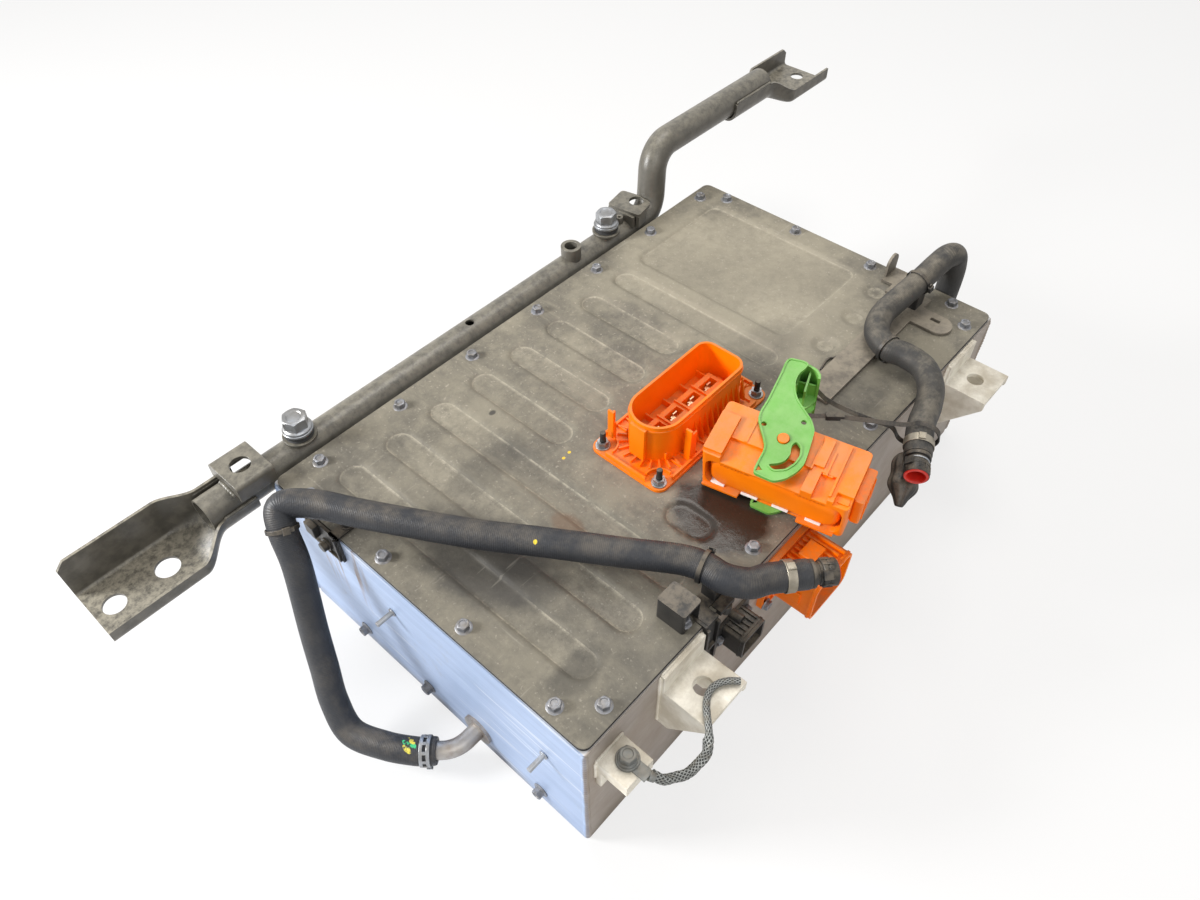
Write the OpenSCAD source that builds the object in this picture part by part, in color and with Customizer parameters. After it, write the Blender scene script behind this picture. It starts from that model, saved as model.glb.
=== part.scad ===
// High-voltage battery pack of a hybrid car: a welded case with a pressed cover,
// a carrying tube with end brackets behind it, coolant hoses, and the connectors.
// Millimetres. X runs along the case, -Y is the connector side, +Z is up.
// The origin is the centre of the flat underside of the case.

/* [Case] */
// Length of the case
case_len = 672; // [660:2:700]
// Width of the case
case_wid = 400; // [396:2:420]
// Height of the case up to the seat of the cover
case_h = 184.5; // [182:0.5:190]
// Thickness of the case walls
case_wall = 3.5; // [2.5:0.5:4.5]
// Thickness of the case floor
case_floor = 4; // [3:0.5:6]
// Radius of the upright corners of the case
case_corner = 4; // [2:0.5:8]
// Width of the cover seat along the long sides
seat_long = 32; // [30:1:33]
// Width of the cover seat along the ends
seat_end = 27; // [26:1:28]
// Thickness of the cover seat
seat_t = 4; // [3:0.5:6]

/* [Cover] */
// Thickness of the cover sheet
cover_t = 1.5; // [1:0.1:2]
// Distance from the cover edge to the case edge
cover_inset = 1.5; // [1:0.5:4]
// Corner radius of the cover
cover_corner = 8; // [4:1:14]
// Depth of the pressed ribs
rib_depth = 2.5; // [1.5:0.1:3]
// Width of a pressed rib
rib_w = 34; // [28:1:38]
// Distance from one rib to the next
rib_pitch = 56.5; // [50:0.5:58]
// Thickness of the cover gasket
gasket_t = 1.5; // [1:0.1:3]
// Length of the square pressed panel
panel_len = 155; // [140:1:160]
// Width of the square pressed panel
panel_wid = 215; // [190:1:216]
// Corner radius of the square panel
panel_corner = 15; // [8:1:30]
// Diameter of the three small dimples
dimple_d = 28; // [16:1:32]

/* [Cover bolts] */
// Diameter of the cover bolt shanks
bolt_d = 6; // [5:0.5:7]
// Width across the flats of the bolt heads
bolt_af = 10; // [8:0.5:11]
// Height of the hexagon on a bolt head
bolt_head_h = 6; // [4:0.5:8]
// Diameter of the bolt flange
bolt_flange_d = 16; // [13:0.5:17]
// Thickness of the bolt flange
bolt_flange_t = 1.5; // [1:0.1:2]
// Distance between the bolts of the long sides
bolt_pitch_long = 99; // [95:0.5:100]
// Distance between the bolts of the ends
bolt_pitch_end = 104.4; // [100:0.4:108]
// Distance from the long edges of the case to the bolt rows
bolt_inset_long = 15.5; // [13:0.5:18]
// Distance from the ends of the case to the bolt rows
bolt_inset_end = 14; // [11:0.5:17]

/* [Carrying tube] */
// Outer diameter of the tube
tube_d = 35; // [32:0.5:38]
// Wall of the tube
tube_wall = 2.5; // [1.5:0.5:4]
// Distance of the tube axis from the rear wall of the case
tube_off = 21.5; // [20:0.5:26]
// Depth of the tube axis under the seat of the cover
tube_drop = 7; // [3:0.5:14]
// Distance of the left tube end from the middle
tube_left = 400; // [390:1:420]
// Distance of the first bend from the middle
tube_bend_x = 219; // [212:1:226]
// Distance of the right tube end from the middle
tube_right = 492; // [470:1:520]
// Centreline radius of the two bends
tube_bend_r = 35; // [34:1:44]
// Angle of each bend
tube_bend_a = 76; // [60:1:80]
// Straight length between the two bends
tube_riser = 27; // [15:1:40]
// Lean of the bends away from the case
tube_lean = 9.8; // [0:0.2:14]

/* [Mounting brackets] */
// Height of the top face of the front brackets
front_bracket_z = 160.5; // [150:0.5:165]
// Length that the front brackets stand out
front_bracket_reach = 50; // [44:1:60]
// Diameter of the front bracket holes
front_hole_d = 17.5; // [10:0.5:20]
// Thickness of the front and rear bracket plates
bracket_t = 5; // [4:0.5:7]
// Thickness of the folded end bracket sheet
sheet_t = 3; // [2:0.5:4]
// Diameter of the outer hole of the left end bracket
end_hole_left_d = 22; // [12:0.5:26]
// Diameter of the inner hole of the left end bracket
end_slot_left_d = 24; // [12:0.5:28]
// Diameter of the hole of the right end bracket
end_hole_right_d = 18; // [10:0.5:24]
// Diameter of the saddle holes
saddle_hole_d = 20; // [12:0.5:20]
// Diameter of the tube bolts
rail_bolt_d = 14; // [12:0.5:14]

/* [Coolant] */
// Wall of the hoses
hose_wall = 3.9; // [3:0.1:4.4]
// Outer diameter of the coolant pipes
pipe_d = 17.4; // [14:0.2:17.6]
// Wall of the coolant pipes
pipe_wall = 1.5; // [1:0.5:2.5]
// Height of the pipe axes
pipe_z = 29.5; // [26:0.5:31]

/* [High-voltage header] */
// Length of the header flange
header_len = 175; // [170:1:180]
// Width of the header flange
header_wid = 89; // [87:1:94]
// Thickness of the header flange
header_t = 8; // [6:0.5:10]
// Length of the header shroud
shroud_len = 133; // [126:1:134]
// Width of the header shroud
shroud_wid = 54; // [50:1:56]
// Height of the shroud rim over the cover
shroud_h = 52; // [44:1:58]
// Wall of the shroud
shroud_wall = 2.6; // [2:0.2:3]

/* [Plug] */
// Length of the plug housing
plug_len = 136; // [134:1:142]
// Depth of the plug housing from its back to its mouth
plug_depth = 61; // [58:1:66]
// Height of the plug housing
plug_h = 52; // [50:1:56]
// Wall of the plug housing
plug_wall = 2.6; // [2:0.2:3]
// Thickness of the lever arms
lever_t = 3.6; // [3:0.2:3.8]
// Diameter of the pivot bosses
pivot_d = 11; // [8:0.5:12]
// Turn of the lever on the plug
lever_turn = 8; // [-40:1:11]

/* [Hidden] */
$fn = 48;

// Small distances
fit = 0.3;
eps = 1;

// Planes of the case
x_left = -case_len / 2;
x_right = case_len / 2;
y_front = -case_wid / 2;
y_rear = case_wid / 2;
z_seat = case_h;
z_cover = case_h + gasket_t + cover_t;

// Cover bolts
bolt_hole_d = bolt_d + 0.4;
weld_nut_d = 14;
weld_nut_h = 8;
bolt_rear = [for (i = [-3:3]) [5.5 + i * bolt_pitch_long, y_rear - bolt_inset_long]];
bolt_front = [for (i = [-3:3]) [1 + i * bolt_pitch_long, y_front + bolt_inset_long]];
bolt_left = [for (i = [-1.5:1.5]) [x_left + bolt_inset_end, i * bolt_pitch_end]];
bolt_right = [for (i = [-1.5:1.5]) [x_right - bolt_inset_end, i * bolt_pitch_end]];
bolt_places = concat(bolt_rear, bolt_front, bolt_left, bolt_right);

// Pressed ribs: place along X as a count of pitches, near end and far end along Y
rib_x0 = x_left + 55;
rib_top = y_rear - seat_long - 5;
rib_bottom = y_front + seat_long + 5;
ribs = [
    [0, rib_bottom, rib_top], [1, rib_bottom, rib_top], [2, rib_bottom, rib_top],
    [3, 23, rib_top], [3, -150, -97], [4, 25, rib_top], [5, 25, rib_top], [6, 25, rib_top],
    [7, -65, rib_top]
];
panel_mid = [x_right - seat_end - 4 - panel_len / 2, y_rear - seat_long - 3 - panel_wid / 2];
dimples = [[x_right - 165, -87], [x_right - 105, -87], [x_right - 50, -82]];

// Inner stack
pad_h = 8;
plate_z = case_floor + pad_h;
plate_t = 28;
plate_len = case_len - 2 * case_wall - 1;
plate_wid = case_wid - 2 * case_wall - 8;
channel_d = 12;
channel_count = 8;
cell_z = plate_z + plate_t;
cell_t = 26.5;
cell_gap = 1;
cell_wid = 170;
cell_h = 100;
cell_count = 14;
cell_x0 = -288;
end_plate_t = 10;
module_y = 92;

// Wall bolts and studs of the left wall: place along Y, height
side_bolt_places = [[110, 19.5], [11.5, 19.5], [-142.5, 19.5]];
side_bolt_depth = 14;
stud_places = [[38.7, 129.7], [-153.4, 116.4]];
stud_d = 5;
stud_len = 18.5;

// Carrying tube
tube_z = case_h - tube_drop;
tube_r = tube_d / 2;
tube_y = y_rear + tube_off;
tube_top = tube_z + tube_r;
bend_run = 2 * tube_bend_r * sin(tube_bend_a) + tube_riser * cos(tube_bend_a);
bend_rise = 2 * tube_bend_r * (1 - cos(tube_bend_a)) + tube_riser * sin(tube_bend_a);
upper_x = tube_bend_x + bend_run;
upper_y = tube_y + bend_rise * sin(tube_lean);
upper_z = tube_z + bend_rise * cos(tube_lean);
bend_steps = 8;
tube_facets = 28;
tube_side = [0, cos(tube_lean), -sin(tube_lean)];
tube_hole_x = -62.5;
bush_x = 100.5;
bush_d = 24;
stub_x = 187.5;
stub_d = 9;

// Centreline of the tube: low run, bend up, riser, bend level, high run
function tube_point(along, rise) =
    [tube_bend_x + along, tube_y + rise * sin(tube_lean), tube_z + rise * cos(tube_lean)];
tube_line = concat(
    [[-tube_left, tube_y, tube_z]],
    [for (i = [0:bend_steps]) let (a = i * tube_bend_a / bend_steps)
        tube_point(tube_bend_r * sin(a), tube_bend_r * (1 - cos(a)))],
    [for (i = [bend_steps:-1:0]) let (a = i * tube_bend_a / bend_steps)
        tube_point(bend_run - tube_bend_r * sin(a), bend_rise - tube_bend_r * (1 - cos(a)))],
    [[tube_right, upper_y, upper_z]]
);

// Bolts that hold the tube on the rear brackets
rail_bolt_x = [-286, 163];
sleeve_d = 22;
sleeve_bore = rail_bolt_d + 0.6;
seat_pad_d = 34;
seat_pad_t = 3;
isolator_d = 28;
isolator_t = 6;
washer_d = 30;
washer_t = 3;
rail_head_af = 22;
rail_head_h = 12;
rail_flange_t = 3;
rear_plate_top = tube_z - tube_r - 4;
rail_stack = tube_top + seat_pad_t + isolator_t + washer_t;
rail_nut_h = 12;

// Front brackets: left side and width
front_bracket_spans = [[-246, 54], [233, 57]];
front_bracket_w = [for (s = front_bracket_spans) s[1]];
gusset_t = 4;
gusset_h = 52;

// Left end bracket: stations along X and half widths
left_end_x = -521;
left_wide_x = -425;
left_narrow_x = -tube_left + 3;
left_inner_x = -354;
left_wide = 37;
left_floor_z = tube_z - 30;
left_back_z = tube_z + 15;
left_hole_x = -502;
left_slot_x = -449;

// Right end bracket
right_end_x = 607;
right_wide_x = tube_right + 32;
right_narrow_x = tube_right + 2;
right_inner_x = 410;
right_wide = 37;
right_drop = 10;
right_hole_x = 588;

// Saddles on the tube
saddle_t = 4;
saddle_top = tube_top + 12.5;
saddle_left = [-370, -330];
saddle_half = 24.7;
saddle_right = [[193, 24.5], [228, 31], [233, 10], [231, -14.1], [200, -20.9]];
saddle_right_hole = [222, 2];

// Coolant pipes
outlet_y = -61;
inlet_y = -137;
pipe_r = pipe_d / 2;
hose_facets = 12;
hose_bore_r = (pipe_r + fit) / cos(180 / hose_facets);
hose_d = 2 * (hose_bore_r + hose_wall);
clamp_bore = hose_d + 2 * fit;
tie_bore = clamp_bore + 0.6;
inlet_bend_r = 16;
inlet_x = x_right + inlet_bend_r;
elbow_flange_d = 34;
barb_len = 14;
connector_len = 20;
socket_d = 16;

// Half length and cover height at which the routes below were drawn; their points near an end wall
// keep their distance from it, and those above the wall's middle keep their height over the cover
drawn_half = 336;
drawn_cover = 187.5;
drawn_near_end = 320;
drawn_above = 150;
function tied(points) = [for (p = points) [
    p[0] + (p[0] < -drawn_near_end ? x_left + drawn_half : p[0] > drawn_near_end ? x_right - drawn_half : 0),
    p[1], p[2] + (p[2] > drawn_above ? z_cover - drawn_cover : 0)
]];

// Left hose: from the outlet pipe up over the edge and along the cover
left_points = [
    [-377, -48, 29.5], [-383.8, -40.6, 29.5], [-390.6, -33.2, 29.5], [-406, -8, 29.5],
    [-419, 25, 32], [-414, 51, 52], [-403, 70, 82], [-392, 89, 112], [-374, 114, 172],
    [-366, 134, 202], [-355, 144, 216], [-334, 121, 217.5], [-311, 80, 215.5],
    [-264, 0, 213.5], [-230, -52, 213.5], [-190, -114, 213.5], [-165, -152, 213.5],
    [-157, -172, 213.5], [-155, -192, 213.5], [-145, -210, 213], [-131, -218.5, 212.3],
    [-117, -229.5, 211.5], [-103, -241, 210.5]
];
// Right hose: from the inlet pipe up over the edge and along the cover
right_points = [
    [352, -137, 48], [352, -137, 62], [352, -137, 100], [352, -137, 150], [352, -137, 200],
    [350, -136, 220], [344, -134.5, 233], [333, -131, 236], [320, -127.5, 231],
    [289.5, -123.5, 222.5], [260.5, -119, 215.5], [229, -116.5, 209.5], [203, -126.5, 207.5],
    [190, -147, 207.5], [192, -167, 207.5], [187, -190, 207.5], [167.5, -208.5, 207.5],
    [142, -219.5, 207.5], [119, -225.5, 207.5], [103, -231.5, 207.5], [91, -237.5, 206.5],
    [79, -243.5, 205]
];
left_route = tied(left_points);
right_route = tied(right_points);

// Things round the hoses: route, number of the route's point, turn of the tail or head
spring_clamp_spots = [[left_route, 1, 0], [right_route, 1, 0]];
band_spots = [[left_route, 21, 0], [right_route, 20, 0]];
tie_spots = [[left_route, 9, 200], [left_route, 17, 100], [right_route, 9, 90], [right_route, 13, 0]];

// Front and rear rests of the hoses
cradle_spots = [right_route[9], right_route[11]];
bracket_sheet_top = z_cover + 5;

// High-voltage header
header_mid = [-20.5, -41.5];
header_pattern = [155, 70];
header_seal_t = 1.5;
header_z = z_cover + header_seal_t;
header_foot_t = 3;
header_pocket_d = 27;
header_block = [110, 20];
header_block_top = z_cover + 23;
header_stem_depth = 10;
window_len = 20;
window_pitch = 27;
header_stud_d = 6;
header_nut_h = 7;
header_stud_len = header_seal_t + header_foot_t + header_nut_h + 12;
header_hole_d = header_stud_d + 0.8;

// Plug frame: its lower back left corner, turn and tilt
plug_pos = [-12, -91, z_cover + 16.1];
plug_yaw = -77;
plug_tilt = 10;
pivot = [61, -22];
boss_proud = 0.9;
arm_gap_top = 2.4;
arm_gap_low = 0.4;
cavity_depth = 38;
lever_outline = [
    [-18, 87], [2, 88.5], [16, 72], [9, 40], [24, 17], [24, -1.5], [21, -23], [13, -39],
    [1, -46], [-15.5, -40.5], [-14, -23], [-17, -4.5], [-24, 8], [-27, 21.5]
];
cam_mid = [-4, -12];
cam_r = 19.5;
cam_w = 7;
tab_x = [14.7, 46, 76.8, 107.8];

// Connector side of the case
side_flange = [-100, 107.5, 85, 72];
side_flange_t = 6;
side_body = [-57.5, 145.5, 60, 50];
side_body_reach = 48;
signal_mid = [-147, 142.5];
signal_screw_x = 4.9;
signal_size = [32, 28, 26];
ground_span = [-324, 32];
ground_reach = 33;
ground_top = 155.5;
ground_hole = [-306, -18];
ground_bolt_d = 8;
lug_t = 2;

// Earth strap: from its lug down and up onto the left front bracket
strap_d = 6.6;
strap_route = [
    [-301.5, -238.7, 153.1], [-295, -248, 146.5], [-284, -254, 142.5], [-273, -258, 142],
    [-264, -259.5, 146], [-257.5, -259, 152.5], [-252, -256, 159], [-247, -251.5, 163.8],
    [-240.5, -245, 165.2], [-232.5, -238, 164.4], [-223, -233, 164], [-213, -233, 164],
    [-204, -238, 164], [-197, -246, 164]
];

// Cable tie: a loop from the lever handle to the right hose
tie_d = 3.6;
tie_head = [49, -167, z_cover + 42.2];
tie_points = [
    [54, -173, 229], [68, -193, 227], [88, -219, 224], [100, -230, 224.3], [106, -243.5, 219.8],
    [108, -248.8, 208], [106, -243, 195], [102, -230, 190.4], [95, -217, 197], [87, -209, 214],
    [75, -193, 222], [67, -172, 226], [63, -150, 229], [64, -135, 233], [62, -122, 234.5],
    [56, -110.5, 234.5], [48, -108.5, 233], [31, -115, 230], [26, -124.5, 228.7],
    [28, -138, 229], [34, -150, 230], [44, -161, 230.3]
];
tie_route = tied(tie_points);

// Points along a smooth curve through a list of points
function spline(a, b, c, d, t) = 0.5 * (2 * b + (c - a) * t
    + (2 * a - 5 * b + 4 * c - d) * t * t + (3 * b - a - 3 * c + d) * t * t * t);
function smooth(pts, n) = concat([
    for (i = [0:len(pts) - 2], k = [0:n - 1])
        spline(pts[max(i - 1, 0)], pts[i], pts[i + 1], pts[min(i + 2, len(pts) - 1)], k / n)
], [pts[len(pts) - 1]]);
function unit(v) = v / norm(v);
function heading(pts, i) = unit(pts[min(i + 1, len(pts) - 1)] - pts[max(i - 1, 0)]);
function ring_points(centre, dir, up, r, sides) =
    let (n = unit(cross(dir, up)), b = cross(dir, n))
    [for (j = [0:sides - 1]) centre + r * (cos(360 * j / sides) * n + sin(360 * j / sides) * b)];

// Solid round bar swept along points; up is a direction that the path never takes
module swept_bar(pts, d, up, sides) {
    n = len(pts);
    points = [for (i = [0:n - 1]) each ring_points(pts[i], heading(pts, i), up, d / 2, sides)];
    sides_faces = [
        for (i = [0:n - 2], j = [0:sides - 1])
            let (k = (j + 1) % sides, a = i * sides, b = a + sides)
            each [[a + j, b + j, b + k], [a + j, b + k, a + k]]
    ];
    start = [[for (j = [0:sides - 1]) j]];
    end = [[for (j = [sides - 1:-1:0]) (n - 1) * sides + j]];
    polyhedron(points, concat(sides_faces, start, end));
}

// Hollow hose swept along points
module swept_hose(pts, d, bore, up, sides) {
    n = len(pts);
    outer = [for (i = [0:n - 1]) each ring_points(pts[i], heading(pts, i), up, d / 2, sides)];
    inner = [for (i = [0:n - 1]) each ring_points(pts[i], heading(pts, i), up, bore / 2, sides)];
    m = n * sides;
    last = (n - 1) * sides;
    walls = [
        for (i = [0:n - 2], j = [0:sides - 1])
            let (k = (j + 1) % sides, a = i * sides, b = a + sides)
            each [
                [a + j, b + j, b + k], [a + j, b + k, a + k],
                [m + a + j, m + b + k, m + b + j], [m + a + j, m + a + k, m + b + k]
            ]
    ];
    rims = [
        for (j = [0:sides - 1])
            let (k = (j + 1) % sides)
            each [
                [j, k, m + k], [j, m + k, m + j],
                [last + j, m + last + k, last + k], [last + j, m + last + j, m + last + k]
            ]
    ];
    polyhedron(concat(outer, inner), concat(walls, rims));
}

// Children stand on a point of a hose route, square to it
module on_route(spot)
    along(spot[0][spot[1]], spot[0][spot[1] + 1] - spot[0][spot[1] - 1])
        rotate([0, 0, spot[2]]) children();

// Children stand past the end of a hose route, in line with it
module at_route_end(route) {
    last = len(route) - 1;
    along(route[last], route[last] - route[last - 1]) children();
}

// Children stand on a point with their Z axis along a direction
module along(place, dir) {
    u = unit(dir);
    translate(place) rotate([0, acos(u[2]), atan2(u[1], u[0])]) children();
}

module rounded_rect(sx, sy, r) {
    square([sx - 2 * r, sy], center = true);
    square([sx, sy - 2 * r], center = true);
    for (mx = [-1, 1], my = [-1, 1])
        translate([mx * (sx / 2 - r), my * (sy / 2 - r)]) circle(r = r);
}

// Slot with round ends from one place along Y to another
module slot_2d(x, y0, y1, w) {
    translate([x - w / 2, y0 + w / 2]) square([w, y1 - y0 - w]);
    translate([x, y0 + w / 2]) circle(d = w);
    translate([x, y1 - w / 2]) circle(d = w);
}

module ring(outer_d, inner_d, h) {
    difference() {
        cylinder(d = outer_d, h = h);
        translate([0, 0, -eps]) cylinder(d = inner_d, h = h + 2 * eps);
    }
}

module hexagon(af, h) cylinder(d = af / cos(30), h = h, $fn = 6);

module flange_bolt(d, len, af, head_h, flange_d, flange_t) {
    translate([0, 0, -len]) cylinder(d = d, h = len);
    cylinder(d = flange_d, h = flange_t);
    hexagon(af, flange_t + head_h);
}

// Plate in the XZ plane, standing out to -Y
module front_plate(t) rotate([90, 0, 0]) linear_extrude(t) children();

// Profile in the XZ plane drawn across a span of Y
module across(y0, y1) translate([0, y1, 0]) rotate([90, 0, 0]) linear_extrude(y1 - y0) children();

module tray() {
    color("lightgray") difference() {
        union() {
            difference() {
                linear_extrude(case_h) rounded_rect(case_len, case_wid, case_corner);
                translate([0, 0, case_floor])
                    linear_extrude(case_h - case_floor - seat_t)
                        square([case_len - 2 * case_wall, case_wid - 2 * case_wall], center = true);
                translate([0, 0, case_h - seat_t - eps])
                    linear_extrude(seat_t + 2 * eps)
                        square([case_len - 2 * seat_end, case_wid - 2 * seat_long], center = true);
            }
            for (p = bolt_places)
                translate([p[0], p[1], case_h - seat_t - weld_nut_h])
                    cylinder(d = weld_nut_d, h = weld_nut_h);
        }
        for (p = bolt_places)
            translate([p[0], p[1], case_h - seat_t - weld_nut_h - eps])
                cylinder(d = bolt_d + 0.2, h = seat_t + weld_nut_h + 2 * eps);
        for (p = side_bolt_places)
            translate([x_left - eps, p[0], p[1]])
                rotate([0, 90, 0]) cylinder(d = bolt_hole_d, h = case_wall + 2 * eps);
        translate([x_left - eps, outlet_y, pipe_z])
            rotate([0, 90, 0]) cylinder(d = pipe_d + 1, h = case_wall + 2 * eps);
        translate([x_right - case_wall - eps, inlet_y, pipe_z])
            rotate([0, 90, 0]) cylinder(d = pipe_d + 1, h = case_wall + 2 * eps);
        translate([side_body[0], y_front + case_wall + eps, side_body[1]])
            front_plate(case_wall + 2 * eps) rounded_rect(side_body[2] - 8, side_body[3] - 8, 8);
        translate([signal_mid[0], y_front + case_wall + eps, signal_mid[1]])
            front_plate(case_wall + 2 * eps) square([20, 16], center = true);
    }
}

module insulation_pad() {
    color("dimgray") translate([-plate_len / 2 + 6, -plate_wid / 2 + 6, case_floor])
        cube([plate_len - 12, plate_wid - 12, pad_h]);
}

module cooling_plate() {
    channel_pitch = (plate_wid - 60) / (channel_count - 1);
    end_x = plate_len / 2 - 22;
    color("silver") difference() {
        translate([-plate_len / 2, -plate_wid / 2, plate_z]) cube([plate_len, plate_wid, plate_t]);
        for (i = [0:channel_count - 1])
            translate([-end_x, (i - (channel_count - 1) / 2) * channel_pitch, pipe_z])
                rotate([0, 90, 0]) cylinder(d = channel_d, h = 2 * end_x);
        for (mx = [-1, 1])
            translate([mx * end_x, plate_wid / 2 - 24, pipe_z])
                rotate([90, 0, 0]) cylinder(d = channel_d + 2, h = plate_wid - 48);
        translate([-plate_len / 2 - eps, outlet_y, pipe_z])
            rotate([0, 90, 0]) cylinder(d = pipe_d + 2 * fit, h = 24 + eps);
        translate([plate_len / 2 - 24, inlet_y, pipe_z])
            rotate([0, 90, 0]) cylinder(d = pipe_d + 2 * fit, h = 24 + eps);
        for (p = side_bolt_places)
            translate([-plate_len / 2 - eps, p[0], p[1]])
                rotate([0, 90, 0]) cylinder(d = bolt_d + 0.2, h = side_bolt_depth + eps);
    }
}

module cell(x, my) {
    translate([x, my * module_y - cell_wid / 2, cell_z]) {
        cube([cell_t, cell_wid, cell_h]);
        for (ty = [24, cell_wid - 24])
            translate([cell_t / 2, ty, cell_h]) cylinder(d = 12, h = 4);
    }
}

module battery_cells() {
    color("slategray")
        for (i = [0:cell_count - 1], my = [-1, 1]) cell(cell_x0 + i * (cell_t + cell_gap), my);
}

module module_end_plates() {
    span = cell_count * (cell_t + cell_gap) - cell_gap;
    color("gray")
        for (my = [-1, 1], x = [cell_x0 - end_plate_t, cell_x0 + span])
            translate([x, my * module_y - cell_wid / 2, cell_z])
                cube([end_plate_t, cell_wid, cell_h + 8]);
}

module cell_busbars() {
    pitch = cell_t + cell_gap;
    color("peru")
        for (my = [-1, 1], i = [0:cell_count - 2])
            translate([
                cell_x0 + i * pitch + cell_t / 2 - 5,
                my * module_y - cell_wid / 2 + (i % 2 == 0 ? 17 : cell_wid - 31),
                cell_z + cell_h + 4
            ]) cube([pitch + 10, 14, 2]);
}

module battery_controller() {
    color("darkgreen") translate([118, -170, cell_z]) {
        cube([170, 110, 6]);
        for (i = [0:3]) translate([18 + i * 38, 30, 6]) cube([24, 24, 5]);
        translate([20, 90, 6]) cube([120, 14, 14]);
    }
}

module junction_box() {
    color("black") translate([118, -40, cell_z]) difference() {
        cube([180, 210, 70]);
        translate([4, 4, 4]) cube([172, 202, 70]);
    }
}

module contactors() {
    color("ivory")
        for (y = [-20, 50])
            translate([150, y, cell_z + 4]) {
                cube([60, 50, 52]);
                for (tx = [15, 45]) translate([tx, 25, 52]) cylinder(d = 10, h = 6);
            }
}

module main_fuse() {
    color("white") translate([160, 135, cell_z + 4]) {
        cube([90, 24, 10]);
        translate([15, 12, 26]) rotate([0, 90, 0]) cylinder(d = 32, h = 60);
    }
}

module cover_gasket() {
    color("black") translate([0, 0, z_seat]) linear_extrude(gasket_t) difference() {
        rounded_rect(case_len - 2 * cover_inset, case_wid - 2 * cover_inset, cover_corner);
        square([case_len - 2 * seat_end, case_wid - 2 * seat_long], center = true);
        for (p = bolt_places) translate(p) circle(d = bolt_hole_d);
    }
}

// Outlines of all the pressed areas, made wider by a margin
module pressings(margin) {
    for (r = ribs)
        slot_2d(rib_x0 + r[0] * rib_pitch, r[1] - margin, r[2] + margin, rib_w + 2 * margin);
    translate(panel_mid)
        rounded_rect(panel_len + 2 * margin, panel_wid + 2 * margin, panel_corner + margin);
    for (p = dimples) translate(p) circle(d = dimple_d + 2 * margin);
}

module cover() {
    color("dimgray") difference() {
        union() {
            translate([0, 0, z_cover - cover_t]) linear_extrude(cover_t)
                rounded_rect(case_len - 2 * cover_inset, case_wid - 2 * cover_inset, cover_corner);
            translate([0, 0, z_cover - rib_depth - cover_t])
                linear_extrude(rib_depth) pressings(cover_t);
        }
        translate([0, 0, z_cover - rib_depth]) linear_extrude(rib_depth + eps) pressings(0);
        translate([0, 0, z_cover - cover_t - eps]) linear_extrude(cover_t + 2 * eps) {
            for (p = bolt_places) translate(p) circle(d = bolt_hole_d);
            translate(header_mid) rounded_rect(shroud_len - 8, shroud_wid - 8, 16);
        }
    }
}

module cover_bolts() {
    color("slategray")
        for (p = bolt_places)
            translate([p[0], p[1], z_cover])
                flange_bolt(bolt_d, 14, bolt_af, bolt_head_h, bolt_flange_d, bolt_flange_t);
}

module side_bolts() {
    color("dimgray")
        for (p = side_bolt_places)
            translate([x_left, p[0], p[1]]) rotate([0, -90, 0])
                flange_bolt(bolt_d, side_bolt_depth, bolt_af, bolt_head_h, bolt_flange_d, bolt_flange_t);
}

module wall_studs() {
    color("silver")
        for (p = stud_places)
            translate([x_left, p[0], p[1]]) rotate([0, -90, 0]) {
                cylinder(d = stud_d + 4, h = 1.5);
                cylinder(d = stud_d, h = stud_len);
            }
}

module front_bracket(x, w) {
    plate_z0 = front_bracket_z - bracket_t;
    difference() {
        union() {
            translate([x, y_front - front_bracket_reach, plate_z0])
                cube([w, front_bracket_reach, bracket_t]);
            translate([x, y_front - bracket_t, plate_z0 - gusset_h])
                cube([w, bracket_t, z_cover - 3 - plate_z0 + gusset_h]);
            for (gx = [x, x + w - gusset_t])
                translate([gx, y_front, plate_z0]) rotate([90, 0, 90]) linear_extrude(gusset_t)
                    polygon([[0, 0], [-front_bracket_reach, 0], [-front_bracket_reach, -6],
                        [-12, -gusset_h], [0, -gusset_h]]);
        }
        translate([x + w / 2, y_front - front_bracket_reach / 2, plate_z0 - eps])
            cylinder(d = front_hole_d, h = bracket_t + 2 * eps);
    }
}

module front_brackets() {
    color("gainsboro")
        for (i = [0, 1]) front_bracket(front_bracket_spans[i][0], front_bracket_w[i]);
}

module rear_bracket(x) {
    w = 56;
    plate_z0 = rear_plate_top - bracket_t;
    reach = tube_off + 28;
    difference() {
        union() {
            translate([x - w / 2, y_rear, plate_z0]) cube([w, reach, bracket_t]);
            translate([x - w / 2, y_rear, plate_z0 - 50])
                cube([w, bracket_t, min(70, z_seat - plate_z0 + 50)]);
            for (gx = [x - w / 2, x + w / 2 - gusset_t])
                translate([gx, y_rear, plate_z0]) rotate([90, 0, 90]) linear_extrude(gusset_t)
                    polygon([[0, 0], [reach, 0], [reach, -6], [12, -50], [0, -50]]);
        }
        translate([x, tube_y, plate_z0 - eps])
            cylinder(d = sleeve_bore, h = bracket_t + 2 * eps);
    }
}

module rear_brackets() {
    color("gainsboro") for (x = rail_bolt_x) rear_bracket(x);
}

module cross_tube() {
    color("dimgray") difference() {
        swept_hose(tube_line, tube_d, tube_d - 2 * tube_wall, tube_side, tube_facets);
        for (x = rail_bolt_x)
            translate([x, tube_y, tube_z - tube_r - eps])
                cylinder(d = sleeve_d + 0.2, h = tube_d + 2 * eps);
        translate([tube_hole_x, tube_y, tube_z]) cylinder(d = 10, h = tube_d);
        translate([bush_x, tube_y, tube_z]) cylinder(d = bush_d + 0.2, h = tube_d);
        translate([stub_x, tube_y, tube_z]) cylinder(d = stub_d + 0.2, h = tube_d);
    }
}

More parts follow.
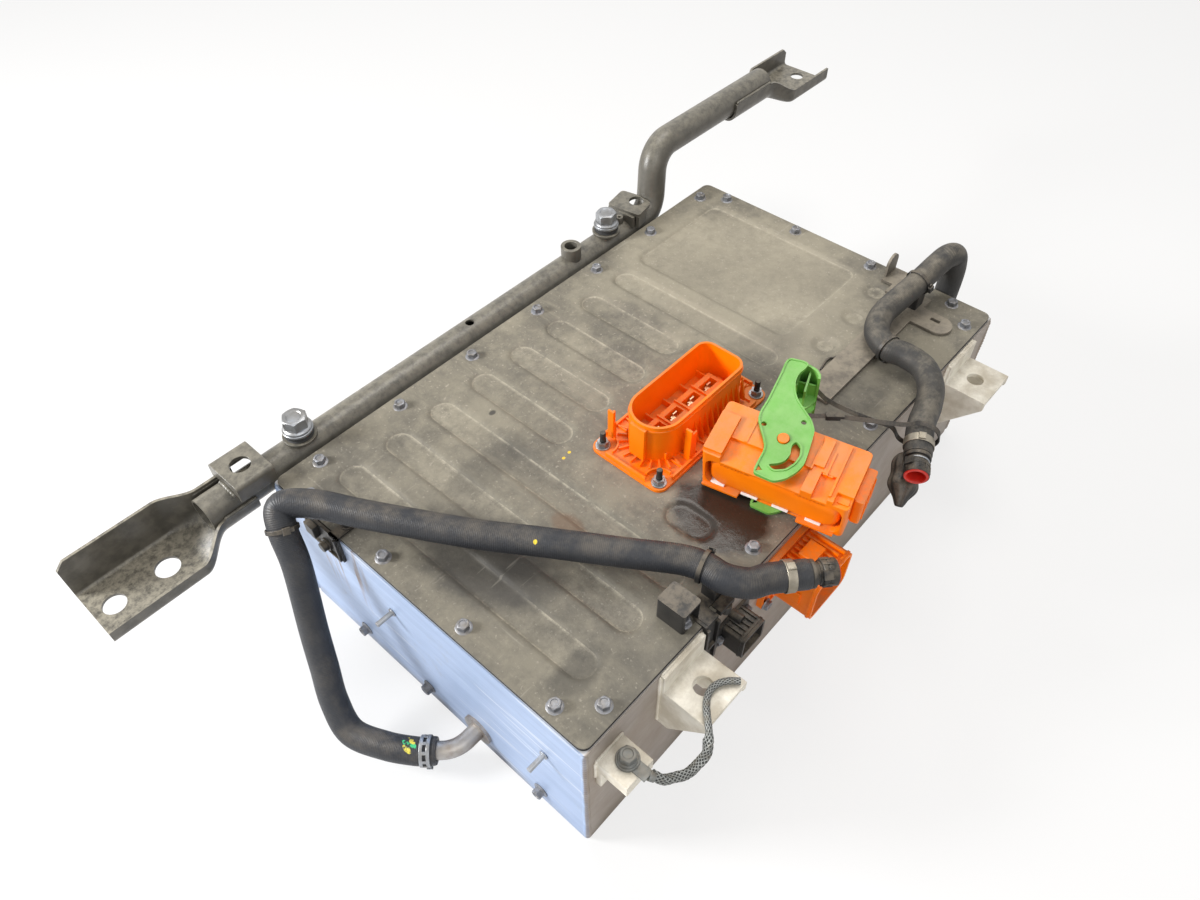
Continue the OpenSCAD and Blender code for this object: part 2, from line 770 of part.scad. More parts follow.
module tube_sleeves() {
    color("gray")
        for (x = rail_bolt_x)
            translate([x, tube_y, tube_z - tube_r]) difference() {
                union() {
                    cylinder(d = sleeve_d, h = tube_d + seat_pad_t);
                    translate([0, 0, tube_d]) cylinder(d = seat_pad_d, h = seat_pad_t);
                }
                translate([0, 0, -eps]) cylinder(d = sleeve_bore, h = tube_d + seat_pad_t + 2 * eps);
            }
}

module tube_bosses() {
    color("dimgray") {
        translate([bush_x, tube_y, tube_z + 2]) ring(bush_d, 15, tube_r + 10.5);
        translate([stub_x, tube_y, tube_z + 2]) ring(stub_d, 4, tube_r + 6);
    }
}

module tube_saddle_left() {
    len = saddle_left[1] - saddle_left[0];
    wall_h = 18;
    color("dimgray") translate([saddle_left[0], tube_y, 0]) difference() {
        union() {
            translate([0, -saddle_half, saddle_top - saddle_t]) cube([len, 2 * saddle_half, saddle_t]);
            for (y = [-saddle_half, saddle_half - saddle_t])
                translate([0, y, saddle_top - wall_h]) cube([len, saddle_t, wall_h]);
            translate([0, -saddle_half, left_back_z + fit])
                cube([saddle_t, 2 * saddle_half, saddle_top - left_back_z - fit]);
        }
        translate([-eps, 0, tube_z]) rotate([0, 90, 0]) cylinder(r = tube_r + 0.1, h = len + 2 * eps);
        translate([len / 2, 0, saddle_top - saddle_t - eps])
            cylinder(d = saddle_hole_d, h = saddle_t + 2 * eps);
    }
}

module tube_saddle_right() {
    front = saddle_right[4];
    edge = saddle_right[3] - front;
    wall_h = 18;
    color("dimgray") difference() {
        union() {
            translate([0, tube_y, saddle_top - saddle_t]) linear_extrude(saddle_t) polygon(saddle_right);
            translate([front[0], tube_y + front[1], saddle_top - wall_h])
                rotate([0, 0, atan2(edge[1], edge[0])]) cube([19.5, saddle_t, wall_h]);
            translate([saddle_right[0][0] + 1, tube_y - 16, saddle_top - wall_h])
                cube([saddle_t, 40, wall_h]);
        }
        translate([180, tube_y, tube_z]) rotate([0, 90, 0]) cylinder(r = tube_r + 0.1, h = 60);
        translate([saddle_right_hole[0], tube_y + saddle_right_hole[1], saddle_top - saddle_t - eps])
            cylinder(d = saddle_hole_d - 1, h = saddle_t + 2 * eps);
    }
}

// Plan of a flared bracket: narrow half width at the tube, wide half width at the end
module flared_plan(x_end, x_wide, x_narrow, x_in, wide, narrow) {
    polygon([
        [x_end, -wide], [x_wide, -wide], [x_narrow, -narrow], [x_in, -narrow],
        [x_in, narrow], [x_narrow, narrow], [x_wide, wide], [x_end, wide]
    ]);
}

module tube_end_bracket_left() {
    narrow = tube_r + 0.2 + sheet_t;
    floor_in = tube_z - tube_r - 0.2;
    past = left_end_x - eps;
    color("dimgray") translate([0, tube_y, 0]) difference() {
        union() {
            intersection() {
                linear_extrude(case_h + 40)
                    flared_plan(left_end_x, left_wide_x, left_narrow_x, left_inner_x, left_wide, narrow);
                across(-left_wide, left_wide) polygon([
                    [left_end_x, left_floor_z], [-430, left_floor_z], [left_narrow_x, floor_in],
                    [left_inner_x, floor_in], [left_inner_x, floor_in - sheet_t],
                    [left_narrow_x, floor_in - sheet_t], [-430, left_floor_z - sheet_t],
                    [left_end_x, left_floor_z - sheet_t]
                ]);
            }
            intersection() {
                linear_extrude(case_h + 40) difference() {
                    flared_plan(left_end_x, left_wide_x, left_narrow_x, left_inner_x, left_wide, narrow);
                    flared_plan(past, left_wide_x, left_narrow_x, left_inner_x + eps,
                        left_wide - sheet_t, narrow - sheet_t);
                }
                union() {
                    across(0, left_wide) polygon([
                        [left_end_x, left_floor_z - sheet_t], [-430, left_floor_z - sheet_t],
                        [left_narrow_x, floor_in - sheet_t], [left_inner_x, floor_in - sheet_t],
                        [left_inner_x, left_back_z], [left_end_x + 5, left_back_z],
                        [left_end_x, left_back_z - 5]
                    ]);
                    across(-left_wide, 0) polygon([
                        [left_end_x, left_floor_z - sheet_t], [-430, left_floor_z - sheet_t],
                        [left_narrow_x, floor_in - sheet_t], [left_inner_x, floor_in - sheet_t],
                        [left_inner_x, tube_z], [left_narrow_x, tube_z],
                        [-430, left_floor_z + 14], [left_end_x, left_floor_z + 14]
                    ]);
                }
            }
        }
        for (h = [[left_hole_x, end_hole_left_d], [left_slot_x, end_slot_left_d]])
            translate([h[0], 0, left_floor_z - 2 * sheet_t]) cylinder(d = h[1], h = 3 * sheet_t);
    }
}

module tube_end_bracket_right() {
    narrow = tube_r + 0.2 + sheet_t;
    floor_in = upper_z - tube_r - 0.2;
    floor_out = floor_in - right_drop;
    past = right_end_x + eps;
    color("dimgray") translate([0, upper_y, 0]) difference() {
        union() {
            intersection() {
                linear_extrude(upper_z + 40)
                    flared_plan(right_end_x, right_wide_x, right_narrow_x, right_inner_x, right_wide, narrow);
                across(-right_wide, right_wide) polygon([
                    [right_end_x, floor_out], [right_wide_x, floor_out], [right_narrow_x, floor_in],
                    [right_inner_x, floor_in], [right_inner_x, floor_in - sheet_t],
                    [right_narrow_x, floor_in - sheet_t], [right_wide_x, floor_out - sheet_t],
                    [right_end_x, floor_out - sheet_t]
                ]);
            }
            intersection() {
                linear_extrude(upper_z + 40) difference() {
                    flared_plan(right_end_x, right_wide_x, right_narrow_x, right_inner_x,
                        right_wide, narrow);
                    flared_plan(past, right_wide_x, right_narrow_x, right_inner_x - eps,
                        right_wide - sheet_t, narrow - sheet_t);
                }
                union() {
                    across(0, right_wide) polygon([
                        [right_end_x, floor_out - sheet_t], [right_wide_x, floor_out - sheet_t],
                        [right_narrow_x, floor_in - sheet_t], [right_inner_x, floor_in - sheet_t],
                        [right_inner_x, floor_in + 13], [right_end_x - 6, floor_in + 13],
                        [right_end_x, floor_in + 6]
                    ]);
                    across(-right_wide, 0) polygon([
                        [right_end_x, floor_out - sheet_t], [right_wide_x, floor_out - sheet_t],
                        [right_narrow_x, floor_in - sheet_t], [right_inner_x, floor_in - sheet_t],
                        [right_inner_x, floor_in + 23], [right_narrow_x, floor_in + 23],
                        [right_wide_x, floor_out + 16], [right_end_x, floor_out + 16]
                    ]);
                }
            }
        }
        translate([right_hole_x, 0, floor_out - 2 * sheet_t])
            cylinder(d = end_hole_right_d, h = 3 * sheet_t);
    }
}

module rail_isolators() {
    color("black")
        for (x = rail_bolt_x) {
            translate([x, tube_y, tube_top + seat_pad_t]) ring(isolator_d, sleeve_bore, isolator_t);
            translate([x, tube_y, rear_plate_top])
                ring(sleeve_d, sleeve_bore, tube_z - tube_r - rear_plate_top);
        }
}

module rail_washers() {
    color("silver")
        for (x = rail_bolt_x) {
            translate([x, tube_y, rail_stack - washer_t]) ring(washer_d, sleeve_bore, washer_t);
            translate([x, tube_y, rear_plate_top - bracket_t - washer_t])
                ring(washer_d, sleeve_bore, washer_t);
        }
}

module rail_bolts() {
    shank = rail_stack - rear_plate_top + bracket_t + washer_t + rail_nut_h + 6;
    color("silver")
        for (x = rail_bolt_x)
            translate([x, tube_y, rail_stack])
                flange_bolt(rail_bolt_d, shank, rail_head_af, rail_head_h, washer_d - 2, rail_flange_t);
}

module rail_nuts() {
    color("silver")
        for (x = rail_bolt_x)
            translate([x, tube_y, rear_plate_top - bracket_t - washer_t - rail_nut_h]) difference() {
                hexagon(rail_head_af, rail_nut_h);
                translate([0, 0, -eps]) cylinder(d = rail_bolt_d + 0.2, h = rail_nut_h + 2 * eps);
            }
}

// Pipe that leaves a wall, bends once and ends in a hose: Z is the way out of the wall
module bent_pipe(r, root, lead, bend_r, bend_a, tail) {
    translate([0, 0, -root]) cylinder(r = r, h = root + lead);
    translate([bend_r, 0, lead]) rotate([90, 0, 0]) rotate([0, 0, 180 - bend_a])
        rotate_extrude(angle = bend_a) translate([bend_r, 0]) circle(r = r);
    translate([bend_r * (1 - cos(bend_a)), 0, lead + bend_r * sin(bend_a)])
        rotate([0, bend_a, 0]) cylinder(r = r, h = tail);
}

module outlet_elbow() {
    bend_r = 32;
    bend_a = 47.3;
    color("silver") translate([x_left, outlet_y, pipe_z]) rotate([0, -90, 0]) rotate([0, 0, 90])
        difference() {
            union() {
                bent_pipe(pipe_r, 20, 14.6, bend_r, bend_a, 12);
                cylinder(d = elbow_flange_d, h = 3);
            }
            bent_pipe(pipe_r - pipe_wall, 20 + eps, 14.6, bend_r, bend_a, 12 + eps);
        }
}

module inlet_elbow() {
    color("silver") translate([x_right, inlet_y, pipe_z]) rotate([0, 90, 0]) rotate([0, 0, 180])
        difference() {
            union() {
                bent_pipe(pipe_r, 20, 0.5, inlet_bend_r - 0.5, 90, 22);
                cylinder(d = elbow_flange_d, h = 3);
            }
            bent_pipe(pipe_r - pipe_wall, 20 + eps, 0.5, inlet_bend_r - 0.5, 90, 22 + eps);
        }
}

module left_hose() {
    color("black")
        swept_hose(smooth(left_route, 3), hose_d, 2 * hose_bore_r, [0.5, 0.5, -0.7], hose_facets);
}

module right_hose() {
    color("black")
        swept_hose(smooth(right_route, 3), hose_d, 2 * hose_bore_r, [-0.5, 0.5, 0.7], hose_facets);
}

module spring_clamps() {
    color("silver")
        for (s = spring_clamp_spots) on_route(s) translate([0, 0, -5]) {
            ring(clamp_bore + 3, clamp_bore, 10);
            for (y = [-5, 2]) translate([clamp_bore / 2 + 0.5, y, 0]) cube([9, 3, 10]);
        }
}

module band_clamps() {
    color("gainsboro")
        for (s = band_spots) on_route(s) translate([0, 0, -4.5]) {
            ring(clamp_bore + 2, clamp_bore, 9);
            translate([-clamp_bore / 2 - 3, -4, 0.5]) cube([2.4, 8, 8]);
        }
}

module quick_connector(route) {
    color("black") at_route_end(route) difference() {
        union() {
            translate([0, 0, -barb_len]) cylinder(r = pipe_r, h = barb_len + 1);
            translate([0, 0, fit]) cylinder(d = 25, h = 4);
            translate([0, 0, fit]) cylinder(d = 20, h = connector_len - 3);
            translate([0, 0, 10]) cylinder(d = 24, h = connector_len - 10);
            for (a = [45, 225]) rotate([0, 0, a]) translate([10, -4, 8.5]) cube([4, 8, 8]);
        }
        translate([0, 0, -barb_len - eps]) cylinder(r = pipe_r - 2, h = 40);
        translate([0, 0, 4]) cylinder(d = socket_d, h = connector_len);
    }
}

module quick_connector_left() quick_connector(left_route);

module quick_connector_right() quick_connector(right_route);

module connector_seals() {
    color("firebrick")
        for (route = [left_route, right_route])
            at_route_end(route) translate([0, 0, connector_len]) ring(24.5, socket_d + 0.8, 4);
}

module connector_wire_clip() {
    color("silver") at_route_end(right_route) translate([0, 0, 6]) {
        ring(22.4, 20.4, 1.8);
        translate([10.6, -8, 0]) cube([8, 1.8, 1.8]);
        translate([10.6, 6.2, 0]) cube([8, 1.8, 1.8]);
        translate([17, -8, 0]) cube([1.8, 16, 1.8]);
    }
}

module hose_ties() {
    color("black")
        for (s = tie_spots) on_route(s) translate([0, 0, -2.2]) {
            ring(tie_bore + 3, tie_bore, 4.4);
            translate([tie_bore / 2 + 0.4, -4, -1]) cube([4, 8, 6.4]);
        }
}

// Clip that holds the left hose: a folded box on the cover, a rest and a leg on the front wall
module hose_clip_front() {
    box = [-208, -192];
    size = [23, 29, 28];
    post = [-166, -192, 18, 14];
    leg = [-190.5, 17, 62];
    rest_top = left_route[18][2] - hose_d / 2 - fit;
    color("black") difference() {
        union() {
            translate([box[0], box[1], z_cover]) cube(size);
            translate([box[0] + size[0] - eps, post[1], z_cover])
                cube([post[0] + post[2] - box[0] - size[0] + eps, post[3], 3]);
            translate([post[0], post[1], z_cover]) cube([post[2], post[3], rest_top - z_cover]);
            translate([leg[0], y_front - 3, z_cover - leg[2]]) cube([leg[1], 3, leg[2]]);
            translate([leg[0], y_front - 3, z_cover]) cube([leg[1], 19, 3]);
        }
        translate([box[0] + 2.5, box[1] - 12, z_cover + 2.5])
            cube([size[0] - 5, size[1] + 10, size[2] - 5]);
        translate([bolt_front[1][0], bolt_front[1][1], z_cover - eps])
            cylinder(d = bolt_flange_d + 2 * fit, h = 20);
    }
}

// Pressed bracket that carries the right hose: a strip, a lobe and an upright tab
module hose_bracket_right() {
    t = 3;
    color("dimgray") {
        translate([0, 0, bracket_sheet_top - t]) linear_extrude(t) difference() {
            union() {
                translate([95, -137]) square([215, 30]);
                translate([262, -163]) square([30, 30]);
                translate([277, -163]) circle(d = 30);
                translate([306, -101]) square([30, 25]);
                translate([290, -120]) square([30, 30]);
            }
            translate([278, -163]) square([5, 11]);
        }
        translate([312, -78, bracket_sheet_top]) cube([22, t, 14]);
        translate([323, -75, bracket_sheet_top + 14]) rotate([90, 0, 0]) cylinder(d = 22, h = t);
        for (p = [[105, -122], [200, -130], [300, -112], [277, -165]])
            translate([p[0], p[1], z_cover]) cylinder(d = 14, h = bracket_sheet_top - t - z_cover);
    }
}

module hose_cradles() {
    color("black")
        for (p = cradle_spots) {
            rest_h = p[2] - hose_d / 2 - 2.6 - bracket_sheet_top;
            translate([p[0] - 9, p[1] - 9, bracket_sheet_top]) cube([18, 18, max(rest_h, 0.5)]);
        }
}

// Plastic clip on the left wall that folds over the cover edge
module edge_clip_left() {
    t = 3;
    y0 = 97;
    wall_part = [49, 32.5];
    fold = [25, 12];
    color("black") {
        translate([x_left - t, y0, z_cover - wall_part[1]]) cube([t, wall_part[0], wall_part[1] + t]);
        translate([x_left - t, y0, z_cover]) cube([fold[0], fold[1], t]);
        translate([x_left + 14, y0 + fold[1] / 2, z_cover + t]) cylinder(d = 8, h = 8);
        translate([x_left - t, y0 + 21, z_cover - 21.5]) rotate([0, -90, 0]) cylinder(d = 10, h = 7);
    }
}

module stud_spots() {
    for (mx = [-1, 1], my = [-1, 1])
        translate([
            header_mid[0] + mx * header_pattern[0] / 2, header_mid[1] + my * header_pattern[1] / 2
        ]) children();
}

// Shroud outline: round at the left end, tighter corners at the right end
module shroud_2d(grow) {
    l = shroud_len + 2 * grow;
    w = shroud_wid + 2 * grow;
    r = 14 + grow;
    translate([-l / 2 + w / 2, 0]) circle(d = w);
    translate([-l / 2 + w / 2, -w / 2]) square([l - w / 2 - r, w]);
    translate([l / 2 - 2 * r, -w / 2 + r]) square([2 * r, w - 2 * r]);
    for (my = [-1, 1]) translate([l / 2 - r, my * (w / 2 - r)]) circle(r = r);
}

module header_gasket() {
    color("black") translate([0, 0, z_cover]) linear_extrude(header_seal_t) difference() {
        translate(header_mid) rounded_rect(header_len, header_wid, 12);
        translate(header_mid) rounded_rect(shroud_len - 8, shroud_wid - 8, 16);
        stud_spots() circle(d = header_hole_d);
    }
}

module hv_header() {
    flange_top = header_z + header_t;
    rim = z_cover + shroud_h;
    color("darkorange") difference() {
        union() {
            translate([0, 0, header_z]) linear_extrude(header_foot_t)
                translate(header_mid) rounded_rect(header_len, header_wid, 12);
            translate([0, 0, header_z]) linear_extrude(header_t) difference() {
                translate(header_mid) rounded_rect(header_len - 3, header_wid - 3, 11);
                stud_spots() circle(d = header_pocket_d);
            }
            translate([header_mid[0], header_mid[1], header_z])
                linear_extrude(rim - header_z) shroud_2d(0);
            translate([header_mid[0], header_mid[1], header_z - header_stem_depth])
                linear_extrude(header_stem_depth) rounded_rect(shroud_len - 12, shroud_wid - 12, 14);
            for (p = [[-89.5, -12], [-60, -82]])
                translate([p[0], p[1], header_z]) cube([9, 7, 45]);
            for (i = [0:7])
                translate([-72 + i * 13, header_mid[1] - shroud_wid / 2 - 5, flange_top - eps])
                    cube([2, 6, 22]);
        }
        translate([header_mid[0], header_mid[1], flange_top])
            linear_extrude(shroud_h) difference() {
                shroud_2d(-shroud_wall);
                square([header_block[0], header_block[1]], center = true);
            }
        translate([header_mid[0], header_mid[1], header_block_top]) linear_extrude(shroud_h)
            shroud_2d(-shroud_wall);
        for (i = [-1.5:1.5])
            translate([header_mid[0] + i * window_pitch, header_mid[1], header_z - header_stem_depth - eps])
                linear_extrude(shroud_h) square([window_len, 9], center = true);
        translate([0, 0, header_z - eps]) linear_extrude(header_t + 2 * eps)
            stud_spots() circle(d = header_hole_d);
    }
}

module header_contacts() {
    color("peru")
        for (i = [-1.5:1.5])
            translate([
                header_mid[0] + i * window_pitch - 8, header_mid[1] - 4.5,
                header_z - header_stem_depth - 6
            ]) {
                cube([16, 2, header_block_top - header_z + header_stem_depth + 3]);
                translate([0, 7, 0]) cube([16, 2, header_block_top - header_z + header_stem_depth + 3]);
                cube([16, 9, 3]);
            }
}

module header_studs() {
    color("dimgray") translate([0, 0, z_cover]) stud_spots() cylinder(d = header_stud_d, h = header_stud_len);
}

module header_nuts() {
    color("silver") translate([0, 0, header_z + header_foot_t]) stud_spots() difference() {
        union() {
            cylinder(d = 15, h = 1.5);
            hexagon(10, header_nut_h);
        }
        translate([0, 0, -eps]) cylinder(d = header_stud_d + 0.2, h = header_nut_h + 2 * eps);
    }
}

module in_plug() translate(plug_pos) rotate([0, 0, plug_yaw]) rotate([plug_tilt, 0, 0]) children();

// Plug housing: a box that is open at its front, with a lip, a raised pad and two ribs
module plug_housing() {
    front = -plug_depth;
    boss_low = arm_gap_low + lever_t + boss_proud;
    boss_high = arm_gap_top + lever_t + boss_proud;
    color("darkorange") in_plug() difference() {
        union() {
            translate([0, front, 0]) cube([plug_len, plug_depth, plug_h]);
            translate([plug_len, front + 14, 8]) cube([9, plug_depth - 24, plug_h - 16]);
            translate([0, -57, plug_h]) cube([18, 40, 3]);
            translate([92, -52, plug_h]) cube([11, 50, 2]);
            translate([116, front, plug_h]) cube([6, plug_depth, 2]);
            translate([4, front - 3, 0]) cube([34, 4, 3]);
            translate([93.5, front - 3, 0]) cube([36, 4, 3]);
            translate([pivot[0], pivot[1], -boss_low])
                cylinder(d = pivot_d, h = plug_h + boss_low + boss_high);
        }
        translate([plug_len / 2, front + cavity_depth, plug_h / 2])
            front_plate(cavity_depth + 5)
                rounded_rect(plug_len - 2 * plug_wall, plug_h - 2 * plug_wall, 12);
        translate([22, -plug_depth + cavity_depth + plug_wall, 10])
            cube([plug_len - 44, plug_depth - cavity_depth - 2 * plug_wall, plug_h - 20]);
    }
}

module plug_contact_carrier() {
    back = -plug_depth + cavity_depth;
    color("white") in_plug() {
        translate([12, back - 30, 18]) cube([plug_len - 24, 30 - fit, 16]);
        for (x = tab_x) translate([x, back - 34, 20]) cube([16, 6, 10]);
    }
}

module lever_arm() {
    difference() {
        linear_extrude(lever_t) polygon(lever_outline);
        translate([0, 0, -eps]) cylinder(d = pivot_d + 2 * fit, h = lever_t + 2 * eps);
        for (p = [[-20, 10.5], [12.5, 21.5]])
            translate([p[0], p[1], -eps]) cylinder(d = 5, h = lever_t + 2 * eps);
        translate([cam_mid[0], cam_mid[1], -eps]) linear_extrude(lever_t + 2 * eps) intersection() {
            difference() {
                circle(r = cam_r + cam_w / 2);
                circle(r = cam_r - cam_w / 2);
            }
            polygon([[0, 0], [40, 16], [40, -40], [-12, -40]]);
        }
    }
}

// Lever: two arms joined by a ribbed handle
module plug_lever() {
    low = -arm_gap_low - lever_t;
    high = plug_h + arm_gap_top;
    color("limegreen") in_plug() translate([pivot[0], pivot[1], 0]) rotate([0, 0, lever_turn]) {
        translate([0, 0, low]) lever_arm();
        translate([0, 0, high]) lever_arm();
        translate([-14, 83, low]) cube([18, 3.5, high - low + 1]);
        translate([-14, 66, low]) cube([3.5, 18, high - low + 1]);
        for (z = [12, 28, 44]) translate([-14, 66, z]) cube([16, 19, 2.5]);
    }
}

module cable_tie() {
    color("black") {
        swept_bar(smooth(tie_route, 2), tie_d, [0.55, 0.35, 0.75], 8);
        translate(tie_head) rotate([0, 0, -50]) cube([17, 7, 5.5], center = true);
    }
}

// Second header on the front wall, below the cover edge
module side_header() {
    f = side_flange;
    b = side_body;
    color("darkorange") difference() {
        union() {
            translate([f[0] + f[2] / 2, y_front, f[1] + f[3] / 2])
                front_plate(side_flange_t) rounded_rect(f[2], f[3], 8);
            translate([b[0], y_front, b[1]]) front_plate(side_body_reach) rounded_rect(b[2], b[3], 10);
            for (i = [-2:2])
                translate([b[0] + i * 11 - 1, y_front - side_body_reach + 8, b[1] + b[3] / 2 - 1])
                    cube([2, side_body_reach - 8, 6]);
        }
        translate([b[0], y_front - side_flange_t, b[1]])
            front_plate(side_body_reach) rounded_rect(b[2] - 6, b[3] - 6, 7);
        for (mx = [-1, 1], mz = [-1, 1])
            translate([f[0] + f[2] / 2 + mx * 36, y_front + eps, f[1] + f[3] / 2 + mz * 29])
                front_plate(side_flange_t + 2 * eps) circle(d = 6);
    }
}

module signal_connector() {
    s = signal_size;
    color("black") translate([signal_mid[0], y_front, signal_mid[1]]) difference() {
        union() {
            front_plate(3) rounded_rect(s[0] + 18, s[1] + 4, 4);
            front_plate(s[2]) rounded_rect(s[0], s[1], 4);
        }
        translate([0, -5, 0]) front_plate(s[2]) rounded_rect(s[0] - 5, s[1] - 5, 2.5);
        for (mx = [-1, 1])
            translate([mx * (s[0] / 2 + signal_screw_x), eps, 0]) front_plate(3 + 2 * eps) circle(d = 4.4);
    }
}

// Small screws of the two connectors on the front wall
module wall_screw(x, z, seat, d) {
    translate([x, y_front - seat, z]) rotate([90, 0, 0]) {
        translate([0, 0, -seat]) cylinder(d = d, h = seat);
        hexagon(d + 3.6, 4);
    }
}

module connector_screws() {
    f = side_flange;
    color("silver") {
        for (mx = [-1, 1], mz = [-1, 1])
            wall_screw(f[0] + f[2] / 2 + mx * 36, f[1] + f[3] / 2 + mz * 29, side_flange_t, 5.4);
        for (mx = [-1, 1])
            wall_screw(signal_mid[0] + mx * (signal_size[0] / 2 + signal_screw_x), signal_mid[1], 3, 4);
    }
}

module ground_boss() {
    z0 = ground_top - 42;
    color("gainsboro") difference() {
        translate([ground_span[0], y_front - ground_reach, z0])
            cube([ground_span[1], ground_reach, ground_top - z0]);
        translate([ground_span[0] - eps, y_front - ground_reach - eps, z0 - eps])
            cube([ground_span[1] + 2 * eps, ground_reach - 5, 28]);
        translate([ground_hole[0], y_front + ground_hole[1], z0]) cylinder(d = ground_bolt_d + 0.2, h = 60);
    }
}

module ground_lug() {
    color("silver") translate([ground_hole[0], y_front + ground_hole[1], ground_top]) {
        difference() {
            union() {
                cylinder(d = 20, h = lug_t);
                translate([-5, -21, 0]) cube([11, 21, lug_t]);
            }
            translate([0, 0, -eps]) cylinder(d = ground_bolt_d + 0.6, h = lug_t + 2 * eps);
        }
        along([2.2, -19.4, -1.4], [4.1, -6.4, -3.1]) cylinder(d = 9, h = 5);
    }
}

module ground_bolt() {
    color("silver") translate([ground_hole[0], y_front + ground_hole[1], ground_top + lug_t]) {
        ring(20, ground_bolt_d + 0.4, 2);
        translate([0, 0, 2]) flange_bolt(ground_bolt_d, 16, 13, 7, 17, 1.6);
    }
}

module ground_strap() {
    color("gray") swept_bar(strap_route, strap_d, [0.1, 0.2, 0.97], 8);
}

tray();
insulation_pad();
cooling_plate();
battery_cells();
module_end_plates();
cell_busbars();
battery_controller();
junction_box();
contactors();
main_fuse();
cover_gasket();
cover();
cover_bolts();
side_bolts();
wall_studs();
front_brackets();
rear_brackets();
cross_tube();
tube_sleeves();
tube_bosses();
tube_saddle_left();
tube_saddle_right();
tube_end_bracket_left();
tube_end_bracket_right();
rail_isolators();
rail_washers();
rail_bolts();
rail_nuts();
outlet_elbow();
inlet_elbow();
left_hose();
right_hose();
spring_clamps();
band_clamps();
quick_connector_left();
quick_connector_right();
connector_seals();
connector_wire_clip();
hose_ties();
hose_clip_front();
hose_bracket_right();
hose_cradles();
edge_clip_left();
hv_header();
header_gasket();
header_contacts();
header_studs();
header_nuts();
plug_housing();
plug_contact_carrier();
plug_lever();
cable_tie();
side_header();
signal_connector();
connector_screws();
ground_boss();
ground_bolt();
ground_lug();
ground_strap();
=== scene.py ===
"""Looks of a high-voltage battery pack for a hybrid car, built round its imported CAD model.

Lengths are millimetres in the pack's own frame, turned into metres as a mesh is made:
X runs along the case, -Y is the connector side and Z is up from the underside.
Shapes are numpy surfaces: a grid of two parameters, or a profile carried along a path.
"""

from __future__ import annotations

import logging
import math
from collections.abc import Sequence
from dataclasses import dataclass
from enum import Enum

import bpy
import bmesh
import numpy as np
from mathutils import Matrix, Vector

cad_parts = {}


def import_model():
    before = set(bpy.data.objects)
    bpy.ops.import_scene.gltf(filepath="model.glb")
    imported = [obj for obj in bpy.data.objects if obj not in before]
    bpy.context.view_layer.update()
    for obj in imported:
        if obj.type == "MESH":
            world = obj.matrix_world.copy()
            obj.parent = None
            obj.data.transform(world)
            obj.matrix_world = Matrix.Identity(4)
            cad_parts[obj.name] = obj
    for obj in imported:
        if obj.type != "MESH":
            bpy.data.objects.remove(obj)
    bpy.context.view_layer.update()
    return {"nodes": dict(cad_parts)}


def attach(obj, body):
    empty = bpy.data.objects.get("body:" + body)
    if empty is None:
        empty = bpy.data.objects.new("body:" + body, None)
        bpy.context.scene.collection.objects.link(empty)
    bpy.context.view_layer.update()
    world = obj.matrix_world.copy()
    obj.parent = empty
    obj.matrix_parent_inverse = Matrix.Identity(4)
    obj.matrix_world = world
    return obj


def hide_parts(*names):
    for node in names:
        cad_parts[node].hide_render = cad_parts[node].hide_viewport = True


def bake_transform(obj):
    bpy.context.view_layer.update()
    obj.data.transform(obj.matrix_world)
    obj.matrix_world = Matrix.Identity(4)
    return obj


LOG = logging.getLogger("battery_pack")
MM = 0.001
Array = np.ndarray
Triple = tuple[float, float, float]
Colour = Triple
Socket = bpy.types.NodeSocket

# Planes of the case: its ends, its connector side and the top of the cover
X_END, Y_SIDE, Z_COVER = 336.0, 200.0, 187.5
# Middle of the header on the cover
HEADER_X, HEADER_Y = -20.5, -41.5

# Routes, repeated from the part's source
LEFT_ROUTE = np.array([
    (-377, -48, 29.5), (-383.8, -40.6, 29.5), (-390.6, -33.2, 29.5), (-406, -8, 29.5),
    (-419, 25, 32), (-414, 51, 52), (-403, 70, 82), (-392, 89, 112), (-374, 114, 172),
    (-366, 134, 202), (-355, 144, 216), (-334, 121, 217.5), (-311, 80, 215.5),
    (-264, 0, 213.5), (-230, -52, 213.5), (-190, -114, 213.5), (-165, -152, 213.5),
    (-157, -172, 213.5), (-155, -192, 213.5), (-145, -210, 213), (-131, -218.5, 212.3),
    (-117, -229.5, 211.5), (-103, -241, 210.5),
])
RIGHT_ROUTE = np.array([
    (352, -137, 48), (352, -137, 62), (352, -137, 100), (352, -137, 150), (352, -137, 200),
    (350, -136, 220), (344, -134.5, 233), (333, -131, 236), (320, -127.5, 231),
    (289.5, -123.5, 222.5), (260.5, -119, 215.5), (229, -116.5, 209.5), (203, -126.5, 207.5),
    (190, -147, 207.5), (192, -167, 207.5), (187, -190, 207.5), (167.5, -208.5, 207.5),
    (142, -219.5, 207.5), (119, -225.5, 207.5), (103, -231.5, 207.5), (91, -237.5, 206.5),
    (79, -243.5, 205),
])
STRAP_ROUTE = np.array([
    (-301.5, -238.7, 153.1), (-295, -248, 146.5), (-284, -254, 142.5), (-273, -258, 142),
    (-264, -259.5, 146), (-257.5, -259, 152.5), (-252, -256, 159), (-247, -251.5, 163.8),
    (-240.5, -245, 165.2), (-232.5, -238, 164.4), (-223, -233, 164), (-213, -233, 164),
    (-204, -238, 164), (-197, -246, 164),
])
TIE_ROUTE = np.array([
    (54, -173, 229), (68, -193, 227), (88, -219, 224), (100, -230, 224.3), (106, -243.5, 219.8),
    (108, -248.8, 208), (106, -243, 195), (102, -230, 190.4), (95, -217, 197), (87, -209, 214),
    (75, -193, 222), (67, -172, 226), (63, -150, 229), (64, -135, 233), (62, -122, 234.5),
    (56, -110.5, 234.5), (48, -108.5, 233), (31, -115, 230), (26, -124.5, 228.7),
    (28, -138, 229), (34, -150, 230), (44, -161, 230.3),
])
